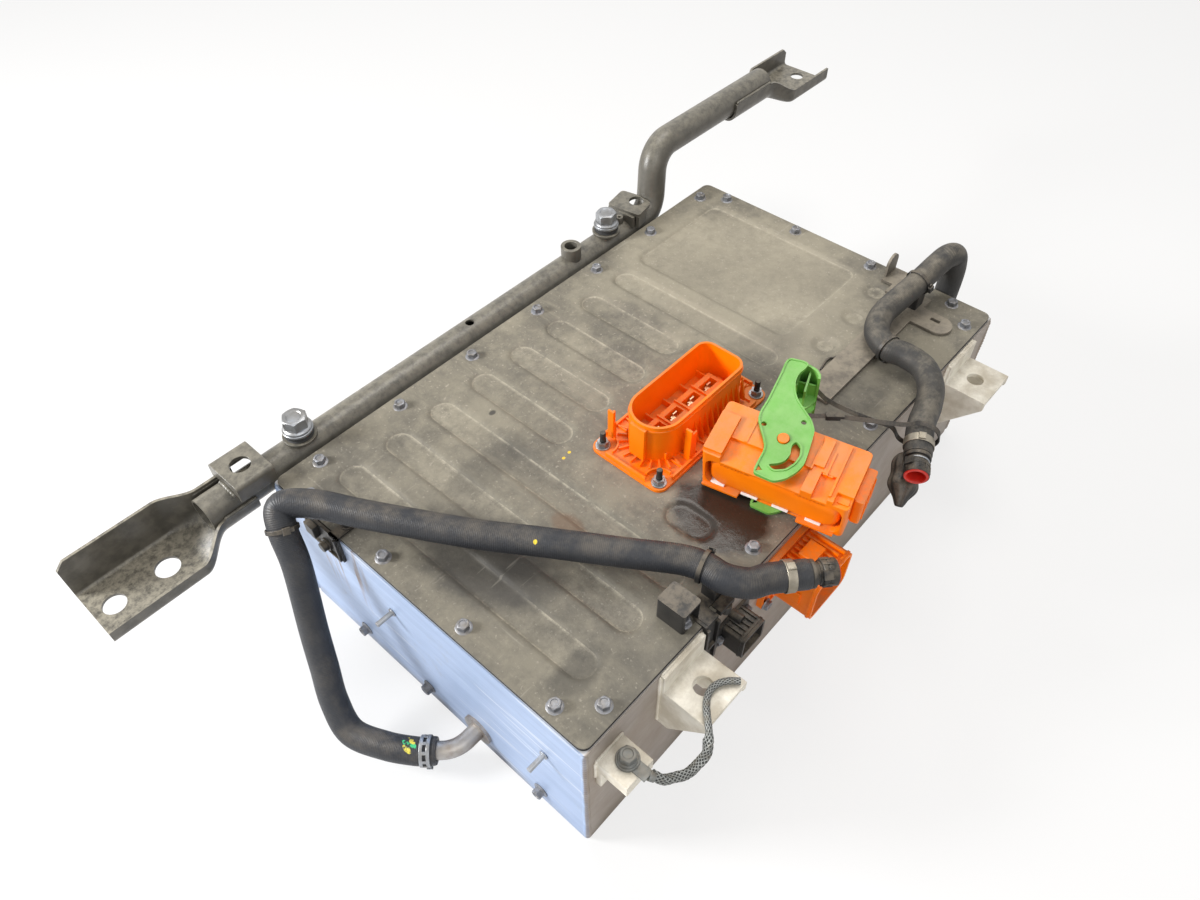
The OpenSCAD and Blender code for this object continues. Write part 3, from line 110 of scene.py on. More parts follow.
HOSE_D = 26.43


class Body(str, Enum):
    """The CAD bodies that a piece can ride on."""

    PACK = "pack"
    LEVER = "lever"


# Surfaces


def unit(v: Array) -> Array:
    """Each vector divided by its length.

    Args:
        v: one vector or rows of vectors.

    Returns:
        The same shape with length 1 along the last axis.
    """
    v = np.asarray(v, float)
    return v / np.linalg.norm(v, axis=-1, keepdims=True)


def angles(sides: int) -> Array:
    """Equal steps once round, from 0."""
    return np.linspace(0, 2 * math.pi, sides, endpoint=False)


def eased(t: Array) -> Array:
    """Smooth step: 3 t^2 - 2 t^3 of t held between 0 and 1."""
    t = np.clip(t, 0, 1)
    return t * t * (3 - 2 * t)


def curve(points: Array, steps: int) -> Array:
    """Catmull-Rom curve: each stretch is the cubic whose tangent at a point is half the
    difference of that point's neighbours.

    Args:
        points: rows of points that the curve passes through.
        steps: pieces for each stretch.

    Returns:
        Rows of points on the curve, first and last included.
    """
    p = np.asarray(points, float)
    q = np.vstack([p[:1], p, p[-1:]])
    a, b, c, d = q[:-3, None], q[1:-2, None], q[2:-1, None], q[3:, None]
    t = (np.arange(steps) / steps)[None, :, None]
    line = 0.5 * (2 * b + (c - a) * t + (2 * a - 5 * b + 4 * c - d) * t**2
                  + (3 * b - a - 3 * c + d) * t**3)
    return np.vstack([line.reshape(-1, 3), p[-1:]])


def travelled(path: Array) -> Array:
    """Distance from the start of a path to each of its points."""
    return np.concatenate([[0.0], np.cumsum(np.linalg.norm(np.diff(path, axis=0), axis=1))])


def frame_at(point: Array, direction: Array) -> Matrix:
    """The placement whose Z runs along a direction, X down for a level one.

    Args:
        point: the origin of the placement.
        direction: where its Z axis points.

    Returns:
        A 4 by 4 matrix in millimetres.
    """
    u = unit(direction)
    tilt, turn = math.acos(u[2]), math.atan2(u[1], u[0])
    return (Matrix.Translation(Vector(point)) @ Matrix.Rotation(turn, 4, "Z")
            @ Matrix.Rotation(tilt, 4, "Y"))


@dataclass
class Shape:
    """A mesh being worked out: rows of points, faces as index rows, and a UV per point or none."""

    points: Array
    faces: list[list[int]]
    uv: Array | None = None

    def __add__(self, other: "Shape") -> "Shape":
        """Both shapes in one, with the second's indices moved past the first's.

        Args:
            other: the shape to add.

        Returns:
            The shape of both, with UV where both have it.
        """
        n = len(self.points)
        uv = None
        if self.uv is not None and other.uv is not None:
            uv = np.vstack([self.uv, other.uv])
        moved = [[i + n for i in f] for f in other.faces]
        return Shape(np.vstack([self.points, other.points]), self.faces + moved, uv)

    def placed(self, matrix: Matrix) -> "Shape":
        """The shape with a placement applied to its points."""
        m = np.array(matrix, float)
        return Shape(self.points @ m[:3, :3].T + m[:3, 3], self.faces, self.uv)

    def at(self, x: float, y: float, z: float) -> "Shape":
        """The shape moved by a vector."""
        return Shape(self.points + np.array([x, y, z], float), self.faces, self.uv)

    def turned(self, degrees: float, axis: str = "Z") -> "Shape":
        """The shape turned about an axis through the origin."""
        return self.placed(Matrix.Rotation(math.radians(degrees), 4, axis))


def together(shapes: list[Shape]) -> Shape:
    """Several shapes as one."""
    whole = shapes[0]
    for s in shapes[1:]:
        whole = whole + s
    return whole


def grid(p: Array, close_rows: bool = False, close_cols: bool = False, cap: bool = False,
         uv: Array | None = None) -> Shape:
    """Surface through a grid of points: each cell is one four-sided face.

    Args:
        p: rows by columns by 3.
        close_rows: whether the last row joins the first.
        close_cols: whether the last column joins the first.
        cap: whether the first and last rows are filled with one face each.
        uv: rows by columns by 2.

    Returns:
        The surface.
    """
    rows, cols = p.shape[:2]
    i = np.arange(rows if close_rows else rows - 1)[:, None] * cols
    i2 = ((np.arange(rows if close_rows else rows - 1) + 1) % rows)[:, None] * cols
    j = np.arange(cols if close_cols else cols - 1)[None, :]
    j2 = (np.arange(cols if close_cols else cols - 1) + 1)[None, :] % cols
    faces = np.stack([i + j, i + j2, i2 + j2, i2 + j], -1).reshape(-1, 4).tolist()
    if cap:
        faces.append(list(range(cols))[::-1])
        faces.append(list(range((rows - 1) * cols, rows * cols)))
    return Shape(p.reshape(-1, 3), faces, None if uv is None else uv.reshape(-1, 2))


def lathe(profile: list[tuple[float, float]], sides: int = 48, ring: bool = False) -> Shape:
    """Profile turned about Z: point (r cos a, r sin a, z) for each angle a.

    Args:
        profile: radius and height of each row, upwards on the outside.
        sides: angles round the axis.
        ring: whether the profile closes on itself; otherwise its two ends are filled.

    Returns:
        A closed surface.
    """
    a = angles(sides)
    r, z = np.array(profile, float).T[:, :, None]
    p = np.stack(np.broadcast_arrays(r * np.cos(a), r * np.sin(a), z), -1)
    return grid(p, close_rows=ring, close_cols=True, cap=not ring)


def ring(outer: float, inner: float, height: float, sides: int = 48, soft: float = 0.3) -> Shape:
    """Round ring on the XY plane with its outer and inner edges broken by a small slope."""
    a, b, h, s = outer / 2, inner / 2, height, soft
    return lathe([(b, s), (b + s, 0), (a - s, 0), (a, s),
                  (a, h - s), (a - s, h), (b + s, h), (b, h - s)], sides, ring=True)


def hexed(theta: Array, flats: float) -> Array:
    """Radius of a hexagon at an angle: half its flats over the cosine of the angle to the
    nearest flat's middle."""
    step = math.pi / 3
    return flats / 2 / np.cos((theta + step / 2) % step - step / 2)


def hex_head(flats: float, height: float, dish: float = 0.8, sides: int = 72) -> Shape:
    """Hexagon head on the XY plane. Its top corners are cut by a cone of 30 degrees, so the
    edge falls by 0.58 of how far the hexagon reaches past the cone's circle.

    Args:
        flats: width across the flats.
        height: height of the head.
        dish: depth of the shallow round recess in the top.
        sides: points round the head.

    Returns:
        A closed surface.
    """
    a = angles(sides)
    h, c = hexed(a, flats), flats / 2 * 0.97
    slope = height - 0.58 * np.maximum(h - c, 0)
    rows = [(h, 0), (h, slope - 0.25), (h - 0.2, slope), (c - 0.3, height), (0.72 * c, height),
            (0.62 * c, height - dish), (0.05 * c, height - dish)]
    p = np.stack([np.stack(np.broadcast_arrays(r * np.cos(a), r * np.sin(a), z), -1)
                  for r, z in rows])
    return grid(p, close_cols=True, cap=True)


def flange_bolt(flats: float, head: float, flange_d: float, flange_t: float, shank_d: float,
                shank: float) -> Shape:
    """Hexagon head on a sloping round flange, over a plain shank that hangs below Z 0.

    Args:
        flats: width across the flats.
        head: height of the hexagon over the flange.
        flange_d: diameter of the flange.
        flange_t: its thickness.
        shank_d: diameter of the shank.
        shank: its length.

    Returns:
        Two closed surfaces.
    """
    f, s = flange_d / 2, shank_d / 2
    skirt = lathe([(s, -shank), (s, 0), (f - 0.3, 0), (f, 0.3), (f, flange_t * 0.6),
                   (f - 0.5, flange_t * 0.85), (flats / 2 + 1.2, flange_t + 0.5),
                   (flats / 2 - 1, flange_t + 0.7)])
    return skirt + hex_head(flats, head + flange_t).at(0, 0, 0.01)


def sweep(path: Array, section: Array, up: Triple, cap: bool = True,
          scale: Array | None = None) -> Shape:
    """Section carried along a path: path point plus the section's first number along
    (tangent cross up) and its second along the direction square to both.

    Args:
        path: rows of points.
        section: rows of two numbers, anticlockwise.
        up: a direction that the path never takes.
        cap: whether the ends are filled.
        scale: how much the section grows at each path point, or at each of its points there.

    Returns:
        The surface, with UV as (share of the way round, millimetres along).
    """
    t = unit(np.gradient(path, axis=0))
    n = unit(np.cross(t, up))
    b = np.cross(t, n)
    s = (np.ones(len(path)) if scale is None else scale).reshape(len(path), -1, 1)
    p = (path[:, None] + s * section[None, :, :1] * n[:, None]
         + s * section[None, :, 1:] * b[:, None])
    u = np.linspace(0, 1, len(section), endpoint=False)
    uv = np.stack(np.broadcast_arrays(u[None, :], travelled(path)[:, None]), -1)
    return grid(p, close_cols=True, cap=cap, uv=uv)


def circle(r: float, sides: int = 32) -> Array:
    """Rows of points round a circle, anticlockwise."""
    a = angles(sides)
    return np.stack([r * np.cos(a), r * np.sin(a)], -1)


def pipe(path: Array, up: Triple, outer: float, inner: float, sides: int,
         scale: Array | None = None) -> Shape:
    """Hollow tube along a path: outer wall, inner wall, and a ring of faces at each end.

    Args:
        path: rows of points.
        up: a direction that the path never takes.
        outer: outside diameter.
        inner: bore.
        sides: points round each wall.
        scale: how much the outer wall grows at each path point.

    Returns:
        A closed surface with the UV of its walls.
    """
    whole = (sweep(path, circle(outer / 2, sides), up, cap=False, scale=scale)
             + sweep(path, circle(inner / 2, sides), up, cap=False))
    j, m = np.arange(sides), len(path) * sides
    k = (j + 1) % sides
    whole.faces += np.vstack([np.stack([e + j, e + k, m + e + k, m + e + j], -1)
                              for e in (0, m - sides)]).tolist()
    return whole


def rounded(points: Sequence[tuple[float, float]], radius: float, steps: int = 6) -> Array:
    """Polygon whose corners are rounded: each corner becomes the quadratic curve between
    the two points that lie the radius away from it along its edges.

    Args:
        points: the corners in order.
        radius: how far from the corner the curve starts.
        steps: pieces for each corner.

    Returns:
        Rows of points of the rounded outline.
    """
    p = np.asarray(points, float)
    before, after = np.roll(p, 1, 0), np.roll(p, -1, 0)
    reach = np.minimum(radius, 0.49 * np.minimum(np.linalg.norm(before - p, axis=1),
                                                 np.linalg.norm(after - p, axis=1)))[:, None]
    a, c = p + unit(before - p) * reach, p + unit(after - p) * reach
    t = np.linspace(0, 1, steps + 1)[None, :, None]
    bent = (1 - t)**2 * a[:, None] + 2 * t * (1 - t) * p[:, None] + t**2 * c[:, None]
    return bent.reshape(-1, 2)


def box_2d(w: float, h: float, r: float = 2.0, x: float = 0.0, y: float = 0.0) -> Array:
    """Rounded rectangle about (x, y), anticlockwise."""
    a, b = w / 2, h / 2
    return rounded([(x - a, y - b), (x + a, y - b), (x + a, y + b), (x - a, y + b)], r)


def layers(*rows: tuple[Array, float]) -> Array:
    """Outlines laid at their heights, one row of points each."""
    return np.stack([np.column_stack([np.asarray(o, float), np.full(len(o), z)]) for o, z in rows])


def prism(outline: Array, z0: float, z1: float, hole: Array | None = None) -> Shape:
    """Outline raised from one height to another, with a hole of as many points if given.

    Args:
        outline: rows of two numbers, anticlockwise.
        z0: lower height.
        z1: upper height.
        hole: an inner outline with the same number of points.

    Returns:
        A closed surface.
    """
    if hole is None:
        return grid(layers((outline, z0), (outline, z1)), close_cols=True, cap=True)
    return grid(layers((outline, z0), (outline, z1), (hole, z1), (hole, z0)), True, True)


def cup(outer: Array, inner: Array, z0: float, z1: float, floor: float) -> Shape:
    """Walls with a closed bottom: up the outer outline, over the rim, down the inner one.

    Args:
        outer: the outer outline.
        inner: the inner outline, with as many points.
        z0: height of the underside.
        z1: height of the rim.
        floor: height of the inner floor.

    Returns:
        A closed surface.
    """
    return grid(layers((outer, z0), (outer, z1), (inner, z1), (inner, floor)),
                close_cols=True, cap=True)


def block(x: tuple[float, float], y: tuple[float, float], z: tuple[float, float],
          r: float = 0.0) -> Shape:
    """Box with round upright edges.

    Args:
        x: where it starts and ends along X.
        y: the same along Y.
        z: the same along Z.
        r: radius of the upright edges.

    Returns:
        A closed surface.
    """
    w, d = x[1] - x[0], y[1] - y[0]
    if r <= 0:
        o = [(x[0], y[0]), (x[1], y[0]), (x[1], y[1]), (x[0], y[1])]
    else:
        o = box_2d(w, d, min(r, 0.45 * w, 0.45 * d), x[0] + w / 2, y[0] + d / 2)
    return prism(o, *z)


def inset(outline: Array, by: float) -> Array:
    """Outline moved inwards: each point goes along the mean normal of its two edges.

    Args:
        outline: rows of two numbers, anticlockwise.
        by: how far; outwards where it is less than 0.

    Returns:
        As many rows.
    """
    p = np.asarray(outline, float)
    e = unit(np.roll(p, -1, 0) - p)
    n = np.stack([-e[:, 1], e[:, 0]], -1)
    m = n + np.roll(n, 1, 0)
    m = unit(m) / np.maximum(0.4, np.linalg.norm(m, axis=1, keepdims=True) / 2)
    return p + by * m


def facing_front(shape: Shape) -> Shape:
    """A shape drawn on XY and raised along Z, set upright on XZ and standing out to -Y."""
    return shape.turned(90, "X")


def weld(path: list[Triple], size: float, up: Triple, pitch: float = 3.2) -> Shape:
    """Weld bead: a half-sunk round bar whose radius swells once per pitch of travel, with two
    slower wobbles: size (0.92 + 0.13 |sin| + 0.06 sin + 0.04 sin), drawn in at its ends.

    Args:
        path: corner points of the seam.
        size: radius of the bead.
        up: a direction that the seam never takes.
        pitch: distance between ripples.

    Returns:
        A closed surface.
    """
    p = np.asarray(path, float)
    s = travelled(p)
    at = np.arange(0, s[-1], 0.7)
    line = np.stack([np.interp(at, s, p[:, k]) for k in range(3)], -1)
    swell = (0.92 + 0.13 * np.abs(np.sin(math.pi * at / pitch)) + 0.06 * np.sin(at / 7.3)
             + 0.04 * np.sin(at * 1.7))
    ends = np.clip(np.minimum(at, s[-1] - at) / size, 0.15, 1)
    return sweep(line, circle(size, 12), up, scale=swell * np.sqrt(ends))


# Materials


class Bench:
    """The node tree of one material, with short calls for the nodes that the finishes use."""

    def __init__(self, name: str) -> None:
        """Makes the material and its Object coordinates."""
        self.material = bpy.data.materials.new(name)
        self.material.use_nodes = True
        self.tree = self.material.node_tree
        self.shader = next(n for n in self.tree.nodes if n.type == "BSDF_PRINCIPLED")
        self.where = self.add("TexCoord").outputs["Object"]

    def add(self, kind: str) -> bpy.types.Node:
        """A new node of a kind."""
        return self.tree.nodes.new("ShaderNode" + kind)

    def feed(self, socket: Socket, value: object) -> None:
        """Links a socket, or sets its own value.

        Args:
            socket: an input.
            value: an output, a number or a colour.
        """
        if isinstance(value, Socket):
            self.tree.links.new(value, socket)
        elif isinstance(value, tuple):
            socket.default_value = (*value, 1.0) if len(socket.default_value) == 4 else value
        else:
            socket.default_value = value

    def noise(self, scale: float, detail: float = 4.0, stretch: Triple | None = None,
              rough: float = 0.55) -> Socket:
        """Fractal noise on Object coordinates.

        Args:
            scale: waves per metre.
            detail: how many finer layers.
            stretch: factors along the axes.
            rough: how strong the finer layers are.

        Returns:
            A share from 0 to 1.
        """
        vector = self.where
        if stretch:
            mapping = self.add("Mapping")
            self.feed(mapping.inputs["Vector"], vector)
            mapping.inputs["Scale"].default_value = stretch
            vector = mapping.outputs["Vector"]
        n = self.add("TexNoise")
        self.feed(n.inputs["Vector"], vector)
        n.inputs["Scale"].default_value = scale
        n.inputs["Detail"].default_value = detail
        n.inputs["Roughness"].default_value = rough
        return n.outputs["Fac"]

    def between(self, value: object, low: float, high: float) -> Socket:
        """Smooth step from 0 at low to 1 at high."""
        m = self.add("MapRange")
        m.interpolation_type = "SMOOTHSTEP"
        self.feed(m.inputs[0], value)
        m.inputs[1].default_value, m.inputs[2].default_value = low, high
        return m.outputs[0]

    def span(self, length: Socket, low: float, high: float) -> Socket:
        """Smooth step between two lengths in millimetres."""
        return self.between(length, low * MM, high * MM)

    def scaled(self, value: object, low: float, high: float) -> Socket:
        """A share from 0 to 1 as a number from low to high."""
        m = self.add("MapRange")
        self.feed(m.inputs[0], value)
        m.inputs[3].default_value, m.inputs[4].default_value = low, high
        return m.outputs[0]

    def sum(self, kind: str, a: object, b: object = 0.0) -> Socket:
        """One Math node."""
        m = self.add("Math")
        m.operation = kind
        self.feed(m.inputs[0], a)
        self.feed(m.inputs[1], b)
        return m.outputs[0]

    def mix(self, share: object, a: object, b: object) -> Socket:
        """Colour a turning into colour b by a share."""
        m = self.add("Mix")
        m.data_type = "RGBA"
        self.feed(m.inputs[0], share)
        self.feed(m.inputs[6], a)
        self.feed(m.inputs[7], b)
        return m.outputs[2]

    def times(self, *values: object) -> Socket:
        """Numbers and sockets multiplied together."""
        whole = values[0]
        for value in values[1:]:
            whole = self.sum("MULTIPLY", whole, value)
        return whole

    def tint(self, colour: object, paint: Colour, *shares: object) -> Socket:
        """A colour turning into a paint by the product of some shares."""
        return self.mix(self.times(*shares), colour, paint)

    def parts(self, vector: Socket) -> list[Socket]:
        """X, Y and Z of a vector."""
        s = self.add("SeparateXYZ")
        self.feed(s.inputs[0], vector)
        return list(s.outputs)

    def axes(self) -> list[Socket]:
        """X, Y and Z of the Object coordinates, in metres."""
        return self.parts(self.where)

    def along(self) -> list[Socket]:
        """The piece's own UV: share of the way round and millimetres along."""
        return self.parts(self.add("UVMap").outputs["UV"])[:2]

    def strands(self, count: int, twist: float) -> Socket:
        """Two crossing families: the larger of sin(2 pi count u + twist v) and the same with
        a minus sign."""
        u, v = self.along()
        turn, travel = self.times(u, 2 * math.pi * count), self.times(v, twist)
        return self.sum("MAXIMUM", *(self.sum("SINE", self.sum(kind, turn, travel))
                                     for kind in ("ADD", "SUBTRACT")))

    def facing_up(self) -> Socket:
        """1 where the surface faces up, 0 where it is upright or faces down."""
        normal = self.add("NewGeometry").outputs["Normal"]
        return self.between(self.parts(normal)[2], 0.15, 0.95)

    def spot(self, x: float, y: float, size: tuple[float, float], soft: float = 0.6,
             ragged: float = 0.35) -> Socket:
        """A ragged patch on the XY plane: an ellipse whose edge is moved by noise.

        Args:
            x: its middle.
            y: its middle.
            size: half sizes along X and Y.
            soft: width of the fading edge, as a share.
            ragged: how far noise moves the edge, as a share.

        Returns:
            1 inside, 0 outside.
        """
        ax, ay, _ = self.axes()
        dx = self.sum("DIVIDE", self.sum("SUBTRACT", ax, x * MM), size[0] * MM)
        dy = self.sum("DIVIDE", self.sum("SUBTRACT", ay, y * MM), size[1] * MM)
        d = self.sum("ADD", self.times(dx, dx), self.times(dy, dy))
        d = self.sum("ADD", d, self.scaled(self.noise(45, 5), -ragged * 2, ragged * 2))
        return self.sum("SUBTRACT", 1.0, self.between(d, 1 - soft, 1 + soft))

    def bump(self, height: object, distance: float, under: object = None) -> Socket:
        """Bump, over another one if given.

        Args:
            height: a share.
            distance: its height in metres.
            under: the other bump.

        Returns:
            The normal.
        """
        b = self.add("Bump")
        b.inputs["Distance"].default_value = distance
        self.feed(b.inputs["Height"], height)
        if under is not None:
            self.feed(b.inputs["Normal"], under)
        return b.outputs["Normal"]

    def finish(self, **sockets: object) -> bpy.types.Material:
        """Feeds the shader's sockets by name, spaces as underscores."""
        for name, value in sockets.items():
            self.feed(self.shader.inputs[name.replace("_", " ")], value)
        return self.material


@dataclass(frozen=True)
class Finish:
    """A plain finish: a colour with softer patches, dust on what faces up, and a fine grain."""

    name: str
    slot: str
    colour: Colour
    patch: Colour
    patch_scale: float = 30.0
    dust: Colour = (0.27, 0.23, 0.18)
    dust_share: float = 0.0
    roughness: tuple[float, float] = (0.4, 0.6)
    metal: float = 0.0
    grain: float = 0.0
    grain_scale: float = 900.0
    shine: float = 0.5

    def build(self) -> bpy.types.Material:
        """Makes the material."""
        b = Bench(self.name)
        patches = b.between(b.noise(self.patch_scale, 6), 0.35, 0.68)
        colour = b.mix(patches, self.colour, self.patch)
        if self.dust_share:
            cloud = b.between(b.noise(self.patch_scale * 1.7, 8, rough=0.75), 0.34, 0.62)
            colour = b.tint(colour, self.dust, cloud, b.facing_up(), self.dust_share)
        rough = b.scaled(b.noise(self.patch_scale * 2.3, 5), *self.roughness)
        if self.grain:
            b.finish(Normal=b.bump(b.noise(self.grain_scale, 3), self.grain))
        return b.finish(Base_Color=colour, Roughness=rough, Metallic=self.metal,
                        Specular_IOR_Level=self.shine)


@dataclass(frozen=True)
class CoverPaint(Finish):
    """Dusty matt paint of the cover: clouds of dust, wiped smears, staining and fine scratches,
    with painted shade and painted highlights.

    The colours are those of pale smears, the panel, specks, grime, the painted shade of the
    near corner, the painted shade in the foot and the worn paint with painted highlight on the
    rim of a pressing, dark patches of staining and painted hose shade, rust, the dark glossy
    patch, paint dots and scratches. A dark patch is a middle, two half sizes and a share.
    """

    pale: Colour = (0.42, 0.385, 0.3)
    panel: Colour = (0.37, 0.335, 0.258)
    speck: Colour = (0.55, 0.5, 0.42)
    grime: Colour = (0.09, 0.082, 0.066)
    # The near corner and foot colours are painted shade; the rim colour is worn paint with painted
    # highlight.
    corner: Colour = (0.085, 0.078, 0.066)
    foot: Colour = (0.05, 0.045, 0.037)
    rim: Colour = (0.47, 0.43, 0.34)
    # Dark patch colour: staining, and painted shade under and beside the left hose.
    stain_and_shade: Colour = (0.045, 0.042, 0.038)
    rust: Colour = (0.16, 0.09, 0.05)
    dark_gloss: Colour = (0.02, 0.014, 0.011)
    dot: Colour = (0.75, 0.52, 0.05)
    scratch: Colour = (0.45, 0.42, 0.36)
    stains_and_hose_shade: tuple[tuple[float, ...], ...] = (
        (-265, -5, 42, 62, 0.8), (-250, -60, 30, 30, 0.6), (-137, 108, 4, 3, 0.9),
        (-310, 150, 20, 14, 0.5), (120, -40, 60, 30, 0.25), (-290, -150, 26, 16, 0.6),
        (-190, 60, 60, 18, 0.35), (150, -150, 90, 30, 0.4),
    )

    def dirt_and_corner_shade(self, b: Bench, colour: Socket, x: Socket, y: Socket, up: Socket) -> Socket:
        """Smears, the panel, specks, grime and the painted shade of the near corner over a colour.

        Args:
            b: the node tree.
            colour: the colour under them.
            x: X in metres.
            y: Y in metres.
            up: 1 where the surface faces up.

        Returns:
            The colour.
        """
        cloud = b.between(b.noise(52, 9, rough=0.8), 0.55, 0.74)
        colour = b.tint(colour, self.pale, cloud, up, 0.4)
        colour = b.tint(colour, self.panel, b.spot(210, 45, (125, 150), 0.5), 0.6)
        colour = b.tint(colour, self.speck, b.between(b.noise(330, 3), 0.6, 0.74), 0.4)
        cloud = b.between(b.noise(70, 8, rough=0.8), 0.56, 0.74)
        colour = b.tint(colour, self.grime, cloud, 0.4)
        # Painted shade: the near corner darkens towards the left front, broken by slow noise.
        near = b.span(b.sum("ADD", x, b.times(y, 0.6)), 60, -330)
        cloud = b.between(b.noise(8, 6, rough=0.7), 0.3, 0.7)
        return b.tint(colour, self.corner, near, 0.45, b.scaled(cloud, 0.3, 1.0))

    def pressed(self, b: Bench, colour: Socket, z: Socket) -> Socket:
        """Painted shade in the foot of each pressing, and worn paint with painted highlight on its
        rim, by depth.

        Args:
            b: the node tree.
            colour: the colour under them.
            z: Z in metres.

        Returns:
            The colour.
        """
        band_noise = b.between(b.noise(85, 9, rough=0.8), 0.4, 0.62)
        # Painted shade: a dark band low on each pressing's wall, broken by noise.
        foot = b.times(b.span(z, Z_COVER - 1.1, Z_COVER - 2.0),
                       b.span(z, Z_COVER - 2.9, Z_COVER - 2.5))
        colour = b.tint(colour, self.foot, foot, b.scaled(band_noise, 0.45, 0.9))
        # Worn paint and painted highlight: a pale band high on each pressing's wall.
        rim = b.times(b.span(z, Z_COVER - 0.38, Z_COVER - 0.62),
                      b.span(z, Z_COVER - 1.5, Z_COVER - 0.8))
        return b.tint(colour, self.rim, rim, b.scaled(band_noise, 0.5, 0.0))

    def build(self) -> bpy.types.Material:
        """Makes the material."""
        b = Bench(self.name)
        x, y, z = b.axes()
        up = b.facing_up()
        colour = b.mix(b.between(b.noise(9, 5), 0.35, 0.7), self.colour, self.patch)
        clouds = b.between(b.noise(15, 10, rough=0.75), 0.36, 0.64)
        smears = b.between(b.noise(24, 7, (1.0, 0.2, 1.0), rough=0.75), 0.42, 0.66)
        wiped = b.between(b.noise(30, 5, (0.3, 1.0, 1.0)), 0.42, 0.64)
        sunk = b.times(b.span(z, Z_COVER - 1.2, Z_COVER - 2.4), b.scaled(wiped, 0.25, 0.75))
        colour = b.tint(colour, self.dust, b.sum("MAXIMUM", clouds, b.times(smears, 0.85)), up,
                        b.sum("SUBTRACT", 1.0, sunk), self.dust_share)
        colour = self.pressed(b, self.dirt_and_corner_shade(b, colour, x, y, up), z)
        # Dark patches: staining, with painted shade under and beside the left hose.
        for sx, sy, wide, deep, share in self.stains_and_hose_shade:
            colour = b.tint(colour, self.stain_and_shade, b.spot(sx, sy, (wide, deep)), share)
        colour = b.tint(colour, self.rust, b.spot(-187, -44, (12, 16)), 0.5)
        # A dark glossy patch: a darker colour and less roughness.
        gloss = b.spot(-88, -140, (40, 46), 0.35)
        colour = b.tint(colour, self.dark_gloss, gloss, 0.94)
        for sx, sy in ((-133, 13), (-124, 14)):
            colour = b.tint(colour, self.dot, b.spot(sx, sy, (1.8, 1.5), 0.2, 0.05))
        lines = b.sum("MAXIMUM", b.between(b.noise(140, 2, (0.06, 1.0, 1.0)), 0.68, 0.72),
                      b.between(b.noise(120, 2, (1.0, 0.05, 1.0)), 0.69, 0.73))
        colour = b.tint(colour, self.scratch, lines, b.between(b.noise(6, 2), 0.45, 0.6), 0.18)
        rough = b.sum("SUBTRACT", b.scaled(b.noise(24, 6), *self.roughness), b.times(gloss, 0.3))
        grain = b.bump(b.noise(700, 3), 0.00015)
        return b.finish(Base_Color=colour, Roughness=rough, Metallic=self.metal,
                        Specular_IOR_Level=0.35, Normal=b.bump(b.noise(16, 4), 0.0022, grain))


@dataclass(frozen=True)
class CaseMetal(Finish):
    """Scuffed aluminium: streaks along the walls, brown dirt and painted shade on the connector
    side, rust runs.
    """

    sky: tuple[Colour, Colour] = ((0.32, 0.41, 0.59), (0.4, 0.5, 0.69))
    blotch: Colour = (0.3, 0.31, 0.34)
    grime: Colour = (0.2, 0.17, 0.14)
    rust: Colour = (0.22, 0.12, 0.05)
    scuff: Colour = (0.8, 0.82, 0.86)

    def build(self) -> bpy.types.Material:
        """Makes the material. The left end is bluer, as the sky shows in it."""
        b = Bench(self.name)
        x, y, z = b.axes()
        streaks = b.between(b.noise(60, 6, (0.6, 0.12, 1.6), rough=0.7), 0.3, 0.75)
        colour = b.mix(streaks, self.colour, self.patch)
        colour = b.mix(b.span(x, -334, -335.5), colour, b.mix(streaks, *self.sky))
        blotch = b.between(b.noise(26, 8, rough=0.75), 0.56, 0.74)
        colour = b.tint(colour, self.blotch, blotch, 0.45)
        cloud = b.between(b.noise(14, 8, rough=0.65), 0.3, 0.72)
        # Connector side: brown dirt and painted shade make it darker and browner.
        front = b.span(y, -198, -199.6)
        front_dirt_and_shade = b.times(front, b.scaled(cloud, 0.7, 1.0))
        colour = b.tint(colour, self.dust, front_dirt_and_shade, 0.9)
        colour = b.tint(colour, self.grime, b.span(z, 22, 2), b.scaled(cloud, 0.1, 0.7))
        runs = b.between(b.noise(150, 5, (1.0, 1.0, 0.08)), 0.5, 0.68)
        colour = b.tint(colour, self.rust, runs, b.span(y, 60, 95), b.span(y, 165, 140),
                        b.span(x, -330, -335), b.span(z, 60, 150))
        scuff = b.between(b.noise(90, 3, (0.2, 0.05, 1.0)), 0.6, 0.66)
        colour = b.tint(colour, self.scuff, scuff, b.scaled(front, 0.4, 0.06))
        fine = b.bump(b.noise(500, 4, (0.15, 0.15, 1.0)), 0.0002)
        return b.finish(Base_Color=colour, Metallic=b.scaled(front_dirt_and_shade, self.metal, 0.15),
                        Roughness=b.scaled(b.noise(40, 6, (0.3, 0.3, 1.0)), *self.roughness),
                        Normal=b.bump(b.noise(7, 2), 0.003, fine))


